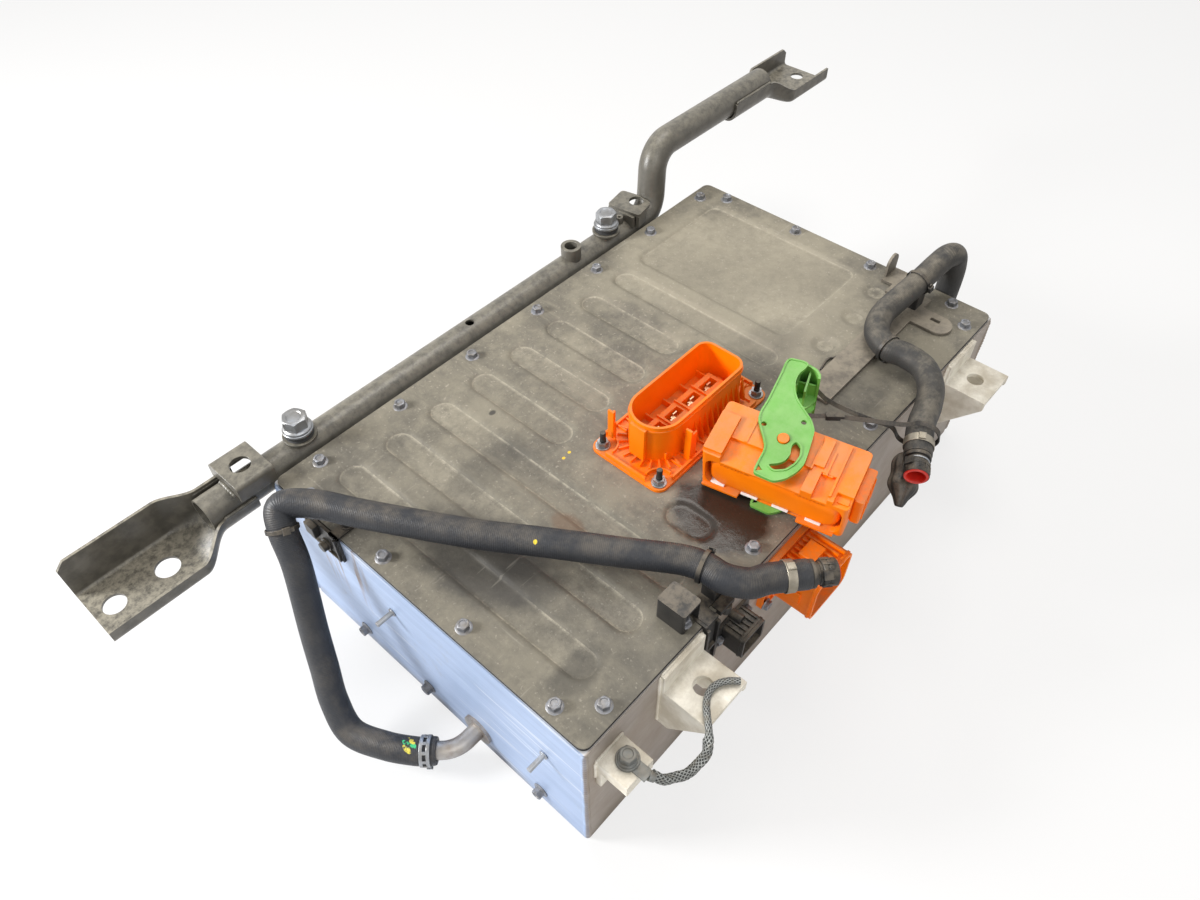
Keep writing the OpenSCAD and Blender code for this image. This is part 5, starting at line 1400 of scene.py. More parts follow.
@dataclass
class CoolantHoses:
    """The two moulded hoses with their clamps, ties, collars and quick connectors."""

    outer: float = HOSE_D
    bore: float = 18.63
    clamp: float = 27.03

    def hose(self, name: str, node: str, route: Array, up: Triple, finish: Finish) -> None:
        """A hollow tube along the route with a rounded lip at each end.

        Args:
            name: name of the piece.
            node: the CAD node that it replaces.
            route: the points it passes through.
            up: a direction that it never takes.
            finish: its material.
        """
        line = curve(route, 8)
        s = travelled(line)
        lip = np.clip(np.minimum(s, s[-1] - s) / 1.5, 0, 1)
        make(name, pipe(line, up, self.outer, self.bore, 48, 0.96 + 0.04 * lip), finish,
             stands_for=(node,), sharp=50)

    def at_point(self, route: Array, i: int) -> Matrix:
        """The placement at a route point, square to the hose."""
        return frame_at(route[i], route[i + 1] - route[i - 1])

    def at_end(self, route: Array) -> Matrix:
        """The placement at the hose's mouth."""
        return frame_at(route[-1], route[-1] - route[-2])

    def clamps(self) -> None:
        """Spring clamps with slotted bands and ears, and plain crimped bands."""
        springs = []
        for route in (LEFT_ROUTE, RIGHT_ROUTE):
            c, r = self.clamp, self.clamp / 2
            parts = [ring(c + 2.6, c, 3.4).at(0, 0, -5), ring(c + 2.6, c, 3.4).at(0, 0, 1.6)]
            parts += [block((r + 0.1, r + 1.3), (-1.6, 1.6), (-2, 2)).turned(a)
                      for a in np.arange(40, 330, 36)]
            parts += [block((r, r + 8.5), (y, y + 1.8), (-4.6, 4.6)) for y in (-4.6, 2.4)]
            parts += [block((r + 6.5, r + 8.5), (-9, -3), (-2, 4)),
                      block((r + 6.5, r + 8.5), (3, 9), (-4, 2))]
            springs.append(together(parts).placed(self.at_point(route, 1)))
        make("spring_clamp_set", together(springs), ZINC, stands_for=("spring_clamps",), bevel=0.3)
        bands = []
        for route, i in ((LEFT_ROUTE, 21), (RIGHT_ROUTE, 20)):
            band = ring(self.clamp + 1.6, self.clamp, 8.4, 64).at(0, 0, -4.2)
            ear = block((self.clamp / 2, self.clamp / 2 + 2.4), (-3.5, 3.5), (-3.6, 3.6), 0.8)
            bands.append((band + ear.turned(180)).placed(self.at_point(route, i)))
        make("band_clamp_set", together(bands), CRIMP, stands_for=("band_clamps",), bevel=0.3)

    def ties(self) -> None:
        """Plastic ties: a thin ring with a head and a clipped tail."""
        parts = []
        for route, i, turn in ((LEFT_ROUTE, 9, 200), (LEFT_ROUTE, 17, 100), (RIGHT_ROUTE, 9, 90),
                               (RIGHT_ROUTE, 13, 0)):
            bore = self.clamp + 0.6
            band = ring(bore + 2.4, bore, 4.2, 64).at(0, 0, -2.1)
            head = block((bore / 2 + 0.4, bore / 2 + 4.2), (-3.6, 3.6), (-3.2, 3.2), 0.8)
            tail = block((bore / 2 + 1.4, bore / 2 + 2.4), (3, 7), (-1.8, 1.8))
            parts.append((band + head + tail).turned(turn).placed(self.at_point(route, i)))
        make("hose_tie_set", together(parts), BLACK, stands_for=("hose_ties",), bevel=0.4)

    def connectors(self) -> None:
        """Quick connectors: a barbed root, a grooved body and a wide collar with a socket."""
        parts = [lathe([
            (6.7, -14), (8.7, -14), (8.7, 0.3), (12.3, 0.3), (12.5, 0.6), (12.5, 3.8), (12.2, 4.2),
            (10.2, 4.4), (10, 6), (9.4, 6.2), (9.4, 7.4), (10, 7.6), (10, 9.6), (11.4, 10),
            (12, 10.6), (12, 14), (11.6, 14.3), (11.6, 15.2), (12, 15.5), (12, 22.8), (11.7, 23.2),
            (11.3, 23.2), (11.3, 19.8), (8.3, 19.8), (8.3, 5), (6.7, 4)], 64, ring=True)]
        parts += [block((10, 14), (-4, 4), (8.5, 16.5)).turned(a) for a in (45, 225)]
        parts += [block((11.4, 12.6), (-0.6, 0.6), (10.4, 19)).turned(a)
                  for a in range(0, 360, 30)]
        for side, route in (("left", LEFT_ROUTE), ("right", RIGHT_ROUTE)):
            make(f"connector_{side}", together(parts).placed(self.at_end(route)), BLACK,
                 stands_for=(f"quick_connector_{side}",), bevel=0.25)
        seal = lathe([(8, 9), (8.25, 9), (8.4, 20), (11.2, 20), (11.2, 23.4), (10.7, 24), (8.9, 24),
                      (8, 22.6)], 64, ring=True)
        seals = [seal.placed(self.at_end(route)) for route in (LEFT_ROUTE, RIGHT_ROUTE)]
        make("connector_rings", together(seals), RED, stands_for=("connector_seals",), sharp=40)
        self.dust_cap()
        wire = curve([(10.6, -7, 0.9), (17.6, -7.1, 0.9), (18.4, -6, 0.9), (18.4, 0, 0.9),
                      (18.4, 6, 0.9), (17.6, 7.1, 0.9), (10.6, 7, 0.9)], 6)
        loop = sweep(wire, circle(0.9, 10), (0, 0, 1)) + ring(22.4, 20.4, 1.8, soft=0.5)
        make("connector_wire", loop.at(0, 0, 6).placed(self.at_end(RIGHT_ROUTE)), ZINC,
             stands_for=("connector_wire_clip",), sharp=50)

    def dust_cap(self) -> None:
        """A soft cap that hangs from the right connector, and the hook of its leash on the cover.
        The cap is a swept oval whose radius swells from its tether,
        r = (3 + 10.5 sin(pi t^0.8)) (1 + 0.1 sin(13t)), with folds of 8 % and 4 %."""
        line = curve([(90, -229, 190), (82, -234, 185), (73, -240, 179), (63, -245, 175),
                      (54, -249, 171), (47, -252, 166.5)], 12)
        t = np.linspace(0, 1, len(line))
        a = angles(60)
        fold = 1 + 0.08 * np.sin(5 * a) + 0.04 * np.sin(9 * a + 1)
        oval = circle(1, 60) * fold[:, None] * (1, 0.72)
        swell = (3 + 10.5 * np.sin(math.pi * t ** 0.8)) * (1 + 0.1 * np.sin(13 * t))
        make("connector_cap", sweep(line, oval, (0, 0, 1), scale=swell), BLACK, sharp=60)
        hook = curve([(134, -105, 189.2), (142, -103, 189.6), (149, -102, 190.4),
                      (154, -103, 191), (158, -106, 190.4), (162, -106, 189.4)], 6)
        make("cover_hook", sweep(hook, circle(1.3, 12), (0, 0, 1)), BLACK, sharp=60)

    def build(self) -> None:
        """Makes everything on the coolant side."""
        self.hose("hose_left", "left_hose", LEFT_ROUTE, (0.5, 0.5, -0.7), HOSE)
        self.hose("hose_right", "right_hose", RIGHT_ROUTE, (-0.5, 0.5, 0.7), HOSE_DUSTY)
        self.clamps()
        self.ties()
        self.connectors()


@dataclass
class GroundStrap:
    """The braided earth strap, a free cord; its crimped lug stays the CAD node."""

    diameter: float = 6.6

    def build(self, nodes: dict[str, bpy.types.Object]) -> None:
        """Makes the strap. Its radius rises and falls with three twisted bundles and with two
        crossing families of strands, r = R (1 + 0.16 cos(3a - s/4)
        + 0.07 (max(sin(8a + 1.5s), sin(8a - 1.5s)) - 0.3)), and thins past its ferrule."""
        line = curve(STRAP_ROUTE, 16)
        s = travelled(line)[:, None]
        a = angles(64)
        strands = np.maximum(np.sin(8 * a + 1.5 * s), np.sin(8 * a - 1.5 * s))
        past = np.clip((s - 66) / 6, 0, 1)
        ferrule = 0.35 * np.exp(-((s - 66) / 1.6) ** 2)
        bundles = 0.16 * np.cos(3 * a - s / 4) * (1 - past)
        radius = (4 - past + ferrule) * (1 + bundles + 0.07 * (strands - 0.3) * (1 - 0.6 * past))
        strap = make("ground_strap_braid",
                     sweep(line, circle(1, 64), (0.1, 0.2, 0.97), scale=radius), BRAID,
                     stands_for=("ground_strap",), sharp=60)


# Placements of the loose plug and of its lever
PLUG = (Matrix.Translation((-12, -91, 203.6)) @ Matrix.Rotation(math.radians(-77), 4, "Z")
        @ Matrix.Rotation(math.radians(10), 4, "X"))
LEVER = PLUG @ Matrix.Translation((61, -22, 0)) @ Matrix.Rotation(math.radians(8), 4, "Z")


def along_x(outline: Array, x0: float, x1: float) -> Shape:
    """Outline drawn in (y, z) and raised from x0 to x1."""
    s = prism(outline, x0, x1)
    return Shape(s.points[:, [2, 0, 1]], s.faces, None)


def strip(path: list[tuple[float, float]], thick: float) -> Array:
    """Outline round a line in the plane: the line moved half the thickness to each side."""
    p = np.asarray(path, float)
    t = unit(np.gradient(p, axis=0))
    n = np.stack([-t[:, 1], t[:, 0]], -1) * thick / 2
    return np.vstack([p - n, (p + n)[::-1]])


def pin(x: float, y: float, z0: float, z1: float, r: float, sides: int = 40) -> Shape:
    """Round bar with a slightly broken top edge."""
    return lathe([(r, z0), (r, z1 - 0.3), (r - 0.3, z1)], sides).at(x, y, 0)


def nut(flats: float, height: float, flange: float, bore: float) -> Shape:
    """Flange nut: a thin washer face under a hexagon, both with a bore."""
    outline = circle(1, 72) * hexed(angles(72), flats)[:, None]
    return ring(flange, bore, 1.5, 72, 0.3) + prism(outline, 1.4, height, circle(bore / 2, 72))


def bar(a: float, b: float) -> Array:
    """Rectangle about the origin from its two half sizes, anticlockwise."""
    return np.array([(-a, -b), (a, -b), (a, b), (-a, b)], float)


@dataclass
class HighVoltageHeader:
    """The orange header on the cover: a flange with pockets, a deep shroud and a contact block."""

    foot: float = 189.0
    rim: float = 239.5
    studs: tuple[float, float] = (77.5, 35.0)
    poles: tuple[float, ...] = (-40.5, -13.5, 13.5, 40.5)

    def stud_places(self) -> list[tuple[float, float]]:
        """Stud centres about the header's middle."""
        a, b = self.studs
        return [(sx * a, sy * b) for sx in (-1, 1) for sy in (-1, 1)]

    def shroud(self, grow: float) -> Array:
        """Outline of the shroud: a half circle at the left and two corners at the right.

        Args:
            grow: how far it lies outside the wall's face.

        Returns:
            Rows of two numbers.
        """
        left, corner = np.radians(np.linspace(90, 270, 33)), np.radians(np.linspace(-90, 0, 12))
        r, q = 27 + grow, 14 + grow
        arcs = ((-39.5, 0, r, left), (52.5, -13, q, corner), (52.5, 13, q, corner + math.pi / 2))
        return np.vstack([np.stack([x + r * np.cos(a), y + r * np.sin(a)], -1)
                          for x, y, r, a in arcs])

    def collar(self, sx: float, sy: float) -> Shape:
        """Wall round the inner side of a stud's pocket, a bar carried along an arc."""
        mid = math.atan2(-sy, -sx)
        a = np.linspace(mid - 0.95, mid + 0.95, 24)
        path = np.stack([sx * self.studs[0] + 14.4 * np.cos(a),
                         sy * self.studs[1] + 14.4 * np.sin(a), np.full_like(a, 194.2)], -1)
        return sweep(path, bar(0.8, 2.2), (0, 0, 1))

    def housing(self) -> None:
        """The moulded body."""
        outer = box_2d(172, 86, 11)
        parts = [
            prism(box_2d(175, 89, 12), self.foot, 192.2),
            prism(box_2d(168, 82, 9), 192, 193.6),
            prism(outer, 192, 197, hole=inset(outer, 2.4)),
            cup(self.shroud(0), self.shroud(-2.6), 192, self.rim, 198),
            prism(self.shroud(1.0), 233.2, 235.0, hole=self.shroud(-0.4)),
            block((-55, 55), (-10, 10), (197, 210.5), 1),
            block((-62, -55.5), (-3, 3), (197, 204)), block((55.5, 63), (-3, 3), (197, 204)),
        ]
        parts += [block((x - 0.9, x + 0.9), (-24.6, 24.6), (197, 205))
                  for x in (-54, -27, 0, 27, 54)]
        parts += [block((x - 0.8, x + 0.8), (-10.2, 10.2), (209, 213.2)) for x in (-27, 0, 27)]
        fin = [(-26.8, 224), (-33.5, 198), (-33.5, 196), (-26.8, 196)]
        back = [(26.8, 196), (31.5, 196), (26.8, 214)]
        parts += [along_x(shape, x - 0.9, x + 0.9) for shape, pitch in ((fin, 8.4), (back, 13.5))
                  for x in np.arange(-33, 60, pitch)]
        parts += [block((26.6, 38), (-0.8, 0.8), (192, 196.6)).turned(a).at(-39.5, 0, 0)
                  for a in range(105, 256, 15)]
        parts += [block((x - 0.8, x + 0.8), (s * 34 - 7, s * 34 + 7), (192, 196)) for s in (-1, 1)
                  for x in np.arange(-50, 60, 12.5)]
        parts += [block((64, 84), (y - 0.8, y + 0.8), (192, 196.6)) for y in (-15, -5, 5, 15)]
        parts += [self.collar(sx, sy) for sx in (-1, 1) for sy in (-1, 1)]
        parts += [block((-69.5, -66), (-9, 9), (196, 236), 1),
                  block((-44, -36), (26.4, 28.4), (196, 236), 0.5)]
        parts += [block(x, y, (190, top)) for x, y, top in
                  (((-69, -66.8), (29.5, 36.5), 234), ((-69, -60), (34.5, 36.5), 227),
                   ((-69, -64.5), (29.5, 31.4), 219), ((-39.5, -37.3), (-40.5, -33.5), 234),
                   ((-39.5, -30.5), (-40.5, -38.6), 229), ((-36, -30.5), (-35.4, -33.5), 216))]
        cuts = [pin(x, y, low, 199, r) for low, r in ((192.3, 13.4), (188, 3.4))
                for x, y in self.stud_places()]
        cuts += [block((x - 10, x + 10), (-4.5, 4.5), (200, 215)) for x in self.poles]
        make("header_housing", together(parts).at(HEADER_X, HEADER_Y, 0), ORANGE,
             stands_for=("hv_header",), cut=together(cuts).at(HEADER_X, HEADER_Y, 0), bevel=0.35)

    def build(self) -> None:
        """Makes the header with its studs, nuts and terminals."""
        self.housing()
        thread = [(3.0 - 0.28 * abs(math.sin(math.pi * z)), z)
                  for z in np.arange(0, 23.5, 0.35) if z > 9]
        stud = lathe([(2.9, 0), (2.9, 9)] + thread + [(2.2, 23.5)], 24)
        places = [(HEADER_X + x, HEADER_Y + y) for x, y in self.stud_places()]
        make("header_stud_set", together([stud.at(x, y, Z_COVER) for x, y in places]), BLACK,
             stands_for=("header_studs",), sharp=60)
        one = nut(10, 7, 15, 6.2)
        make("header_nut_set", together([one.turned(31 * k).at(x, y, 192.2)
                                         for k, (x, y) in enumerate(places)]), ZINC,
             stands_for=("header_nuts",), sharp=30, bevel=0.25)
        fork = together([block(x, y, (198, top)) for x, y, top in
                         (((-7, -2), (-2.8, -1), 208), ((1, 7), (1, 2.8), 208),
                          ((-2.2, 2), (-2.6, 2.6), 205.5), ((-8, 8), (-4, 4), 199.5))])
        lugs = [fork.at(HEADER_X + x, HEADER_Y, 0) for x in self.poles]
        make("header_terminals", together(lugs), CONTACT, stands_for=("header_contacts",),
             bevel=0.3)


@dataclass
class LeverPlug:
    """The loose plug: a stepped housing with an inner sleeve, white tabs and the green lever."""

    length: float = 136.0
    height: float = 52.0
    outline: tuple[tuple[float, float], ...] = (
        (-16.7, 88.3), (-2.4, 88.5), (2, 86.2), (0.1, 79.7), (-4.2, 73), (-5, 64.1),
        (-2.6, 53.1), (2.1, 44), (11.1, 34.2), (18.7, 26.3), (23.9, 15.8), (24, 4.7),
        (24, -8.8), (23.2, -21.2), (18.9, -30.6), (11.7, -39.4), (2.8, -44.7), (-2.9, -44),
        (-15.5, -41.4), (-16.6, -38.1), (-15, -25.8), (-13.7, -18.6), (-13.9, -11.7),
        (-17.8, -3), (-22.6, 5.6), (-26.8, 14.4), (-27, 22.6), (-24.1, 36.1), (-22, 53.7),
        (-20.2, 69.4), (-19.3, 82.8),
    )
    slot: tuple[tuple[float, float], ...] = (
        (11.3, 0), (16.3, -4.2), (17.5, -13.6), (14.8, -22.2), (9, -30), (-0.6, -33.6),
        (-6.2, -29.6), (2, -26.3), (7.2, -21.8), (9.8, -14.2), (8.5, -4.8),
    )

    def housing(self) -> None:
        """The orange shell: its top steps down, slopes to the front and carries pads and ribs."""
        slope = np.array([(-36.5, 48.8), (-70, 44), (-70, 70), (-36.5, 70)], float)[::-1]
        mouth = facing_front(prism(box_2d(128, 40, 12, 68, 22.5), 23, 66))
        cuts = [along_x(slope, 18, 92.3), along_x(slope, 102.7, 116.2),
                along_x(slope - np.array([13, 0]), 121.8, 140), mouth,
                block((38, 93.5), (-70, -58.8), (-3, 2.6))]
        parts = [block((0, self.length), (-61, 0), (0, self.height), 5)]
        make("plug_shell", together(parts).placed(PLUG), ORANGE, stands_for=("plug_housing",),
             cut=together(cuts).placed(PLUG), bevel=0.5)
        trim = [
            block((0.2, 18), (-57.5, -14), (51, 55), 1),
            block((92, 103), (-33, -3), (51, 54), 0.6),
            block((92, 94), (-38, -3), (50, 54)),
            block((103.5, 113), (-38, -16), (48, 51.5), 0.6),
            block((116, 118.2), (-57, -3), (47, 54)),
            block((106, 108), (-38.5, -14), (48, 53)),
            block((136, 145), (-47, -10), (8, 44), 3),
            block((2, 37.5), (-64.3, -50), (0, 2.8), 0.6),
            block((93.8, 128.5), (-64, -50), (0, 2.8), 0.6),
            block((22, 78), (0, 2.6), (6, 46), 1),
            block((124, 134), (-57, -44), (46, 49), 1),
            pin(61, -22, 50, 58.9, 5.2), pin(61, -22, -4.9, 2, 5.2),
            block((30, 33), (-36, -2), (51, 52.8)), block((80, 83), (-30, -2), (51, 52.8)),
        ]
        trim += [block((x, x + 1.2), (-60.4, -57), (38, 45)) for first in (18, 88)
                 for x in np.arange(first, first + 24, 3.2)]
        trim += [block((145, 146.2), (y, y + 1.4), (10, 42)) for y in np.arange(-42, -14, 6)]
        make("plug_trim", together(trim).placed(PLUG), ORANGE, bevel=0.35)

    def sleeve(self) -> None:
        """Inner sleeve: rounded outlines joined front to back, the front ones smaller and lower."""
        rows = []
        for depth, small, drop in ((30, 0, 0), (50, 0, 0), (54, 0.8, -0.4), (57.5, 3, -1.6),
                                   (59.2, 6.5, -3.2)):
            o = box_2d(125 - 2 * small, 36 - 1.2 * small, 11, 68, 24 + drop)
            rows.append(np.stack([o[:, 0], np.full(len(o), -depth), o[:, 1]], -1))
        make("plug_sleeve", grid(np.stack(rows), close_cols=True, cap=True).placed(PLUG), ORANGE,
             sharp=50)
        tabs = [block((x, x + w), (-60.2, -52), (2.7, 4.4), 0.6) for x, w in
                ((9, 13.6), (39.2, 16), (69.3, 15.5), (100.9, 14.5))]
        make("plug_tabs", together(tabs).placed(PLUG), WHITE,
             stands_for=("plug_contact_carrier",), bevel=0.3)

    def arm(self, low: float, high: float, top_rim: bool) -> Shape:
        """One arm of the lever.

        Args:
            low: height of its underside.
            high: height of its top.
            top_rim: whether rims stand up round its plan and slot.

        Returns:
            Closed surfaces.
        """
        plan, slot = rounded(self.outline[::-1], 3, 3), rounded(self.slot[::-1], 2.4, 3)
        face = high - 0.8 if top_rim else high
        parts = [prism(plan, low, face)]
        if top_rim:
            parts.append(prism(plan, face - 0.1, high, hole=inset(plan, 1.5)))
            parts.append(prism(inset(slot, -1.7), face - 0.1, high, hole=inset(slot, -0.1)))
        return together(parts)

    def lever(self) -> None:
        """The lever: two arms, a curved grip between them and the grip's shelves."""
        knife = [pin(x, y, -8, 62, r) for x, y, r in
                 ((0, 0, 5.8), (-20.2, 10.6, 2.5), (12.8, 22, 2.5))]
        knife += [prism(rounded(self.slot[::-1], 2.4, 3), -8, 62),
                  prism([(-13.6, -32), (-14.6, -38.4), (-9.2, -36.2)], -8, 62)]
        grip = strip([(-15, 86), (-6, 87), (3, 86.2), (10, 83), (14, 78), (14.6, 74)], 2.4)
        shelf = rounded([(-14, 85.5), (-14, 70), (-5, 66), (3, 51), (6.6, 57), (11.6, 63),
                         (15.2, 70), (14.6, 77), (10, 83), (3, 86)], 1)
        parts = [self.arm(-4.0, -0.4, False), self.arm(54.4, 58.0, True), prism(grip, -2, 55.5)]
        parts += [prism(shelf, z, z + 2.2) for z in (10, 24)]
        parts += [block((-15, -12.8), (66, 86), (-1, 55)), block((-5, -3.2), (67, 85.5), (24, 47)),
                  block((4, 5.8), (60, 84), (24, 50)), block((-13.5, 13.5), (75, 76.8), (24, 42)),
                  block((-14, -4), (68, 85), (38, 40.2))]
        make("lever_body", together(parts).placed(LEVER), GREEN, body=Body.LEVER,
             stands_for=("plug_lever",), cut=together(knife).placed(LEVER), bevel=0.35)

    def build(self) -> None:
        """Makes the plug."""
        self.housing()
        self.sleeve()
        self.lever()


@dataclass
class CableTie:
    """The black tie that loops from the lever's grip round the right hose's connector."""

    width: float = 4.4
    thick: float = 1.3

    def build(self) -> None:
        """Makes the tie."""
        band = sweep(curve(TIE_ROUTE, 10), bar(self.thick / 2, self.width / 2), (0.55, 0.35, 0.75))
        lock = (block((-9, 5), (-3.5, 3.5), (-2.7, 2.7), 0.8)
                + block((5, 8.5), (-2.4, 2.4), (-1.6, 1.6)))
        tie = make("tie_band", band + lock.turned(-50).at(49, -167, 229.7), BLACK, body=None,
                   stands_for=("cable_tie",), bevel=0.2)
        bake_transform(tie)


@dataclass
class WallConnectors:
    """What sits on the connector side below the cover: the second header and a signal connector.
    Places on that wall are (x, z)."""

    screws: tuple[tuple[float, float], ...] = tuple((x, z) for x in (-93.5, -21.5)
                                                    for z in (114.5, 172.5))
    ears: tuple[float, float] = (-167.9, -126.1)
    signal_at: tuple[float, float] = (-147.0, 142.5)
    screw_y: float = -206.0
    ear_y: float = -203.0

    def mount(self, name: str, parts: list[Shape], finish: Finish, node: str | None = None,
              holes: list[Shape] | None = None, bevel: float = 0.0) -> None:
        """Makes a piece that stands out from the wall.

        Args:
            name: name of the piece.
            parts: shapes drawn on the wall and raised from it.
            finish: its material.
            node: the CAD node that it replaces.
            holes: what is cut out of it.
            bevel: width of its broken edges.
        """
        make(name, facing_front(together(parts)).at(0, -Y_SIDE, 0), finish,
             stands_for=(node,) if node else (), bevel=bevel,
             cut=facing_front(together(holes)).at(0, -Y_SIDE, 0) if holes else None)

    def header(self) -> None:
        """The orange header: a flange, a deep box with ribs on top, and side latches."""
        plate = box_2d(85, 72, 8, -57.5, 143.5)
        outer = box_2d(60, 50, 10, -57.5, 145.5)
        parts = [prism(plate, 0, 4), prism(plate, 3.9, 6, hole=inset(plate, 2)),
                 cup(outer, inset(outer, 3), 3, 48, 7), prism(inset(outer, -1.2), 6, 9),
                 prism(inset(outer, -1.0), 43.5, 45.5, hole=inset(outer, 0.5))]
        parts += [block((x - 0.9, x + 0.9), (169.5, 174.8), (7, 41 + 3 * (k % 2)))
                  for k, x in enumerate(np.arange(-81, -33, 6.2))]
        parts += [block((x - 4, x + 4), (z - 3, z + 3), (4, 7.2), 1) for x, z in self.screws]
        parts += [block((-68, -47), (169, 177.5), (14, 30), 1.5),
                  block((-89.6, -87), (138, 153), (8, 34), 1)]
        self.mount("side_header_body", parts, ORANGE, "side_header",
                   [pin(x, z, -1, 9, 3) for x, z in self.screws], 0.4)
        self.mount("side_header_blades", [block((x - 3.5, x + 3.5), (z - 1, z + 1), (5, 34))
                                          for x in (-70, -45) for z in (140, 152)],
                   CONTACT, bevel=0.2)

    def signal(self) -> None:
        """The black connector: a flange with a ribbed box and a round ear."""
        x0, z0 = self.signal_at
        plate, box = box_2d(50, 32, 4, x0, z0), box_2d(32, 28, 4, x0, z0)
        parts = [prism(plate, 0, 3), cup(box, inset(box, 2.5), 0, 26, 5),
                 prism(inset(box, -0.8), 21, 23, hole=inset(box, 0.4))]
        parts += [block((x - 0.8, x + 0.8), (156, 158.4), (3, 20))
                  for x in np.arange(-158, -135, 5.5)]
        parts += [pin(x0, 158, 0, 12, 5)]
        self.mount("signal_body", parts, BLACK, "signal_connector",
                   [pin(x, z0, -1, 5, 2.2) for x in self.ears], 0.4)
        self.mount("signal_pins", [pin(x0 + 5.4 * i, z0 + 6 * j, 4, 16, 0.8, 12)
                                   for i in (-1.5, -0.5, 0.5, 1.5) for j in (-1, 0, 1)], CONTACT)

    def build(self) -> None:
        """Makes both connectors and their screws."""
        self.header()
        self.signal()
        big, small = flange_bolt(9, 4, 13, 1, 5.4, 5.6), flange_bolt(7.6, 4, 9.4, 0.8, 4, 2.6)
        set_in = [big.turned(20 * k).turned(90, "X").at(x, self.screw_y, z)
                  for k, (x, z) in enumerate(self.screws)]
        set_in += [small.turned(15 * k).turned(90, "X").at(x, self.ear_y, self.signal_at[1])
                   for k, x in enumerate(self.ears)]
        make("wall_screws", together(set_in), BOLT, stands_for=("connector_screws",), sharp=30)


@dataclass
class HoseHolders:
    """What holds the hoses: the front clip, the cradles and the clip on the left edge."""

    def front_clip(self) -> None:
        """A folded box, a rest under the hose and a leg with two ribs on the wall."""
        parts = [
            block((-208, -185), (-192, -163), (Z_COVER, 215.5), 3),
            block((-186, -148), (-192, -178), (Z_COVER, Z_COVER + 3), 1),
            block((-166, -148), (-192, -178), (Z_COVER, 197), 2),
            block((-166, -163.5), (-192, -178), (190, 204), 0.8),
            block((-150.5, -148), (-192, -178), (190, 204), 0.8),
            block((-190.5, -173.5), (-203, -200), (125.5, 188)),
            block((-190.5, -173.5), (-203, -184), (187.5, 190.5)),
            block((-190.5, -187.5), (-206, -202), (127, 186)),
            block((-176.5, -173.5), (-206, -202), (127, 186)),
            block((-190.5, -173.5), (-206, -202), (150, 153)),
            pin(-158, -200, 176, 186, 5), block((-170, -150), (-203, -193), (184.5, 190.5), 1),
        ]
        cut = (block((-205.5, -187.5), (-204, -166), (190, 213), 1.5)
               + pin(-197, -184.5, 180, 202, 8.4))
        make("front_clip", together(parts), BLACK, stands_for=("hose_clip_front",), cut=cut,
             bevel=0.7)

    def cradles(self) -> None:
        """Open saddles under the right hose: a block with a round trough cut along the hose."""
        parts = [block((x - 9, x + 9), (y - 9, y + 9), (192.5, z - 8.5), 1.5) for x, y, z in
                 ((289.5, -123.5, 222.5), (229, -116.5, 209.5))]
        trough = sweep(curve(RIGHT_ROUTE[6:14], 6), circle(13.4, 40), (-0.5, 0.5, 0.7))
        make("cradle_set", together(parts), BLACK, stands_for=("hose_cradles",), cut=trough,
             bevel=0.6)

    def edge_clip(self) -> None:
        """A plate on the wall with a fold over the cover's edge, two ribs, a peg and a button."""
        parts = [
            block((-339, -336), (97, 146), (155, 190.5)),
            block((-339, -314), (97, 109), (187.5, 190.5)),
            block((-341, -338.5), (99, 101.5), (158, 188)),
            block((-341, -338.5), (141.5, 144), (158, 188)),
            block((-341, -338.5), (99, 144), (156, 158.5)),
            block((-345, -338.5), (126, 140), (172, 186), 1),
            pin(-322, 103, 190, 198, 4), pin(-322, 103, 190, 192, 5.6),
        ]
        parts += [pin(0, 0, 0, high, r).turned(-90, "Y").at(-339, 118, 166)
                  for high, r in ((7, 5), (2, 7))]
        make("edge_clip", together(parts), BLACK, stands_for=("edge_clip_left",), bevel=0.6)

    def build(self) -> None:
        """Makes the holders."""
        self.front_clip()
        self.cradles()
        self.edge_clip()


@dataclass
class CaseWelds:
    """Weld beads: up the four corners of the case and round its brackets."""

    x: float = 333.8
    y: float = 197.8
    wall: float = -200.6
    brackets: tuple[tuple[float, float], ...] = ((-246, -192), (233, 290))

    def build(self) -> None:
        """Makes the beads."""
        corners = [weld([(sx * self.x, sy * self.y, 3), (sx * self.x, sy * self.y, 183)], 3.3,
                        (sx, -sy, 0.01), 4.2) for sx in (-1, 1) for sy in (-1, 1)]
        wall, seams = self.wall, []
        for x0, x1 in self.brackets:
            seams.append(weld([(x0 + 1, wall, 184), (x1 - 1, wall, 184)], 1.5, (0, 0, 1)))
            seams += [weld([(x, wall - 0.2, 108), (x, wall - 0.2, 183)], 1.6, (1, 0, 0))
                      for x in (x0 - 0.6, x1 + 0.6)]
        seams.append(weld([(-325, wall, 156), (-291, wall, 156)], 1.6, (0, 0, 1)))
        seams.append(weld([(-324.6, wall, 128), (-324.6, wall, 155)], 1.6, (1, 0, 0)))
        make("corner_welds", together(corners), CASE)
        make("bracket_welds", together(seams), BRACKET)


# Stage


def fresh(tree: bpy.types.NodeTree, *kinds: str) -> list[bpy.types.Node]:
    """Empties a node tree and fills it with one new node of each kind."""
    tree.nodes.clear()
    return [tree.nodes.new("ShaderNode" + kind) for kind in kinds]


def lit(node: bpy.types.Node, colour: Colour, strength: float) -> Socket:
    """Sets a background's or emission's colour and strength and gives its output."""
    node.inputs[0].default_value, node.inputs[1].default_value = (*colour, 1.0), strength
    return node.outputs[0]


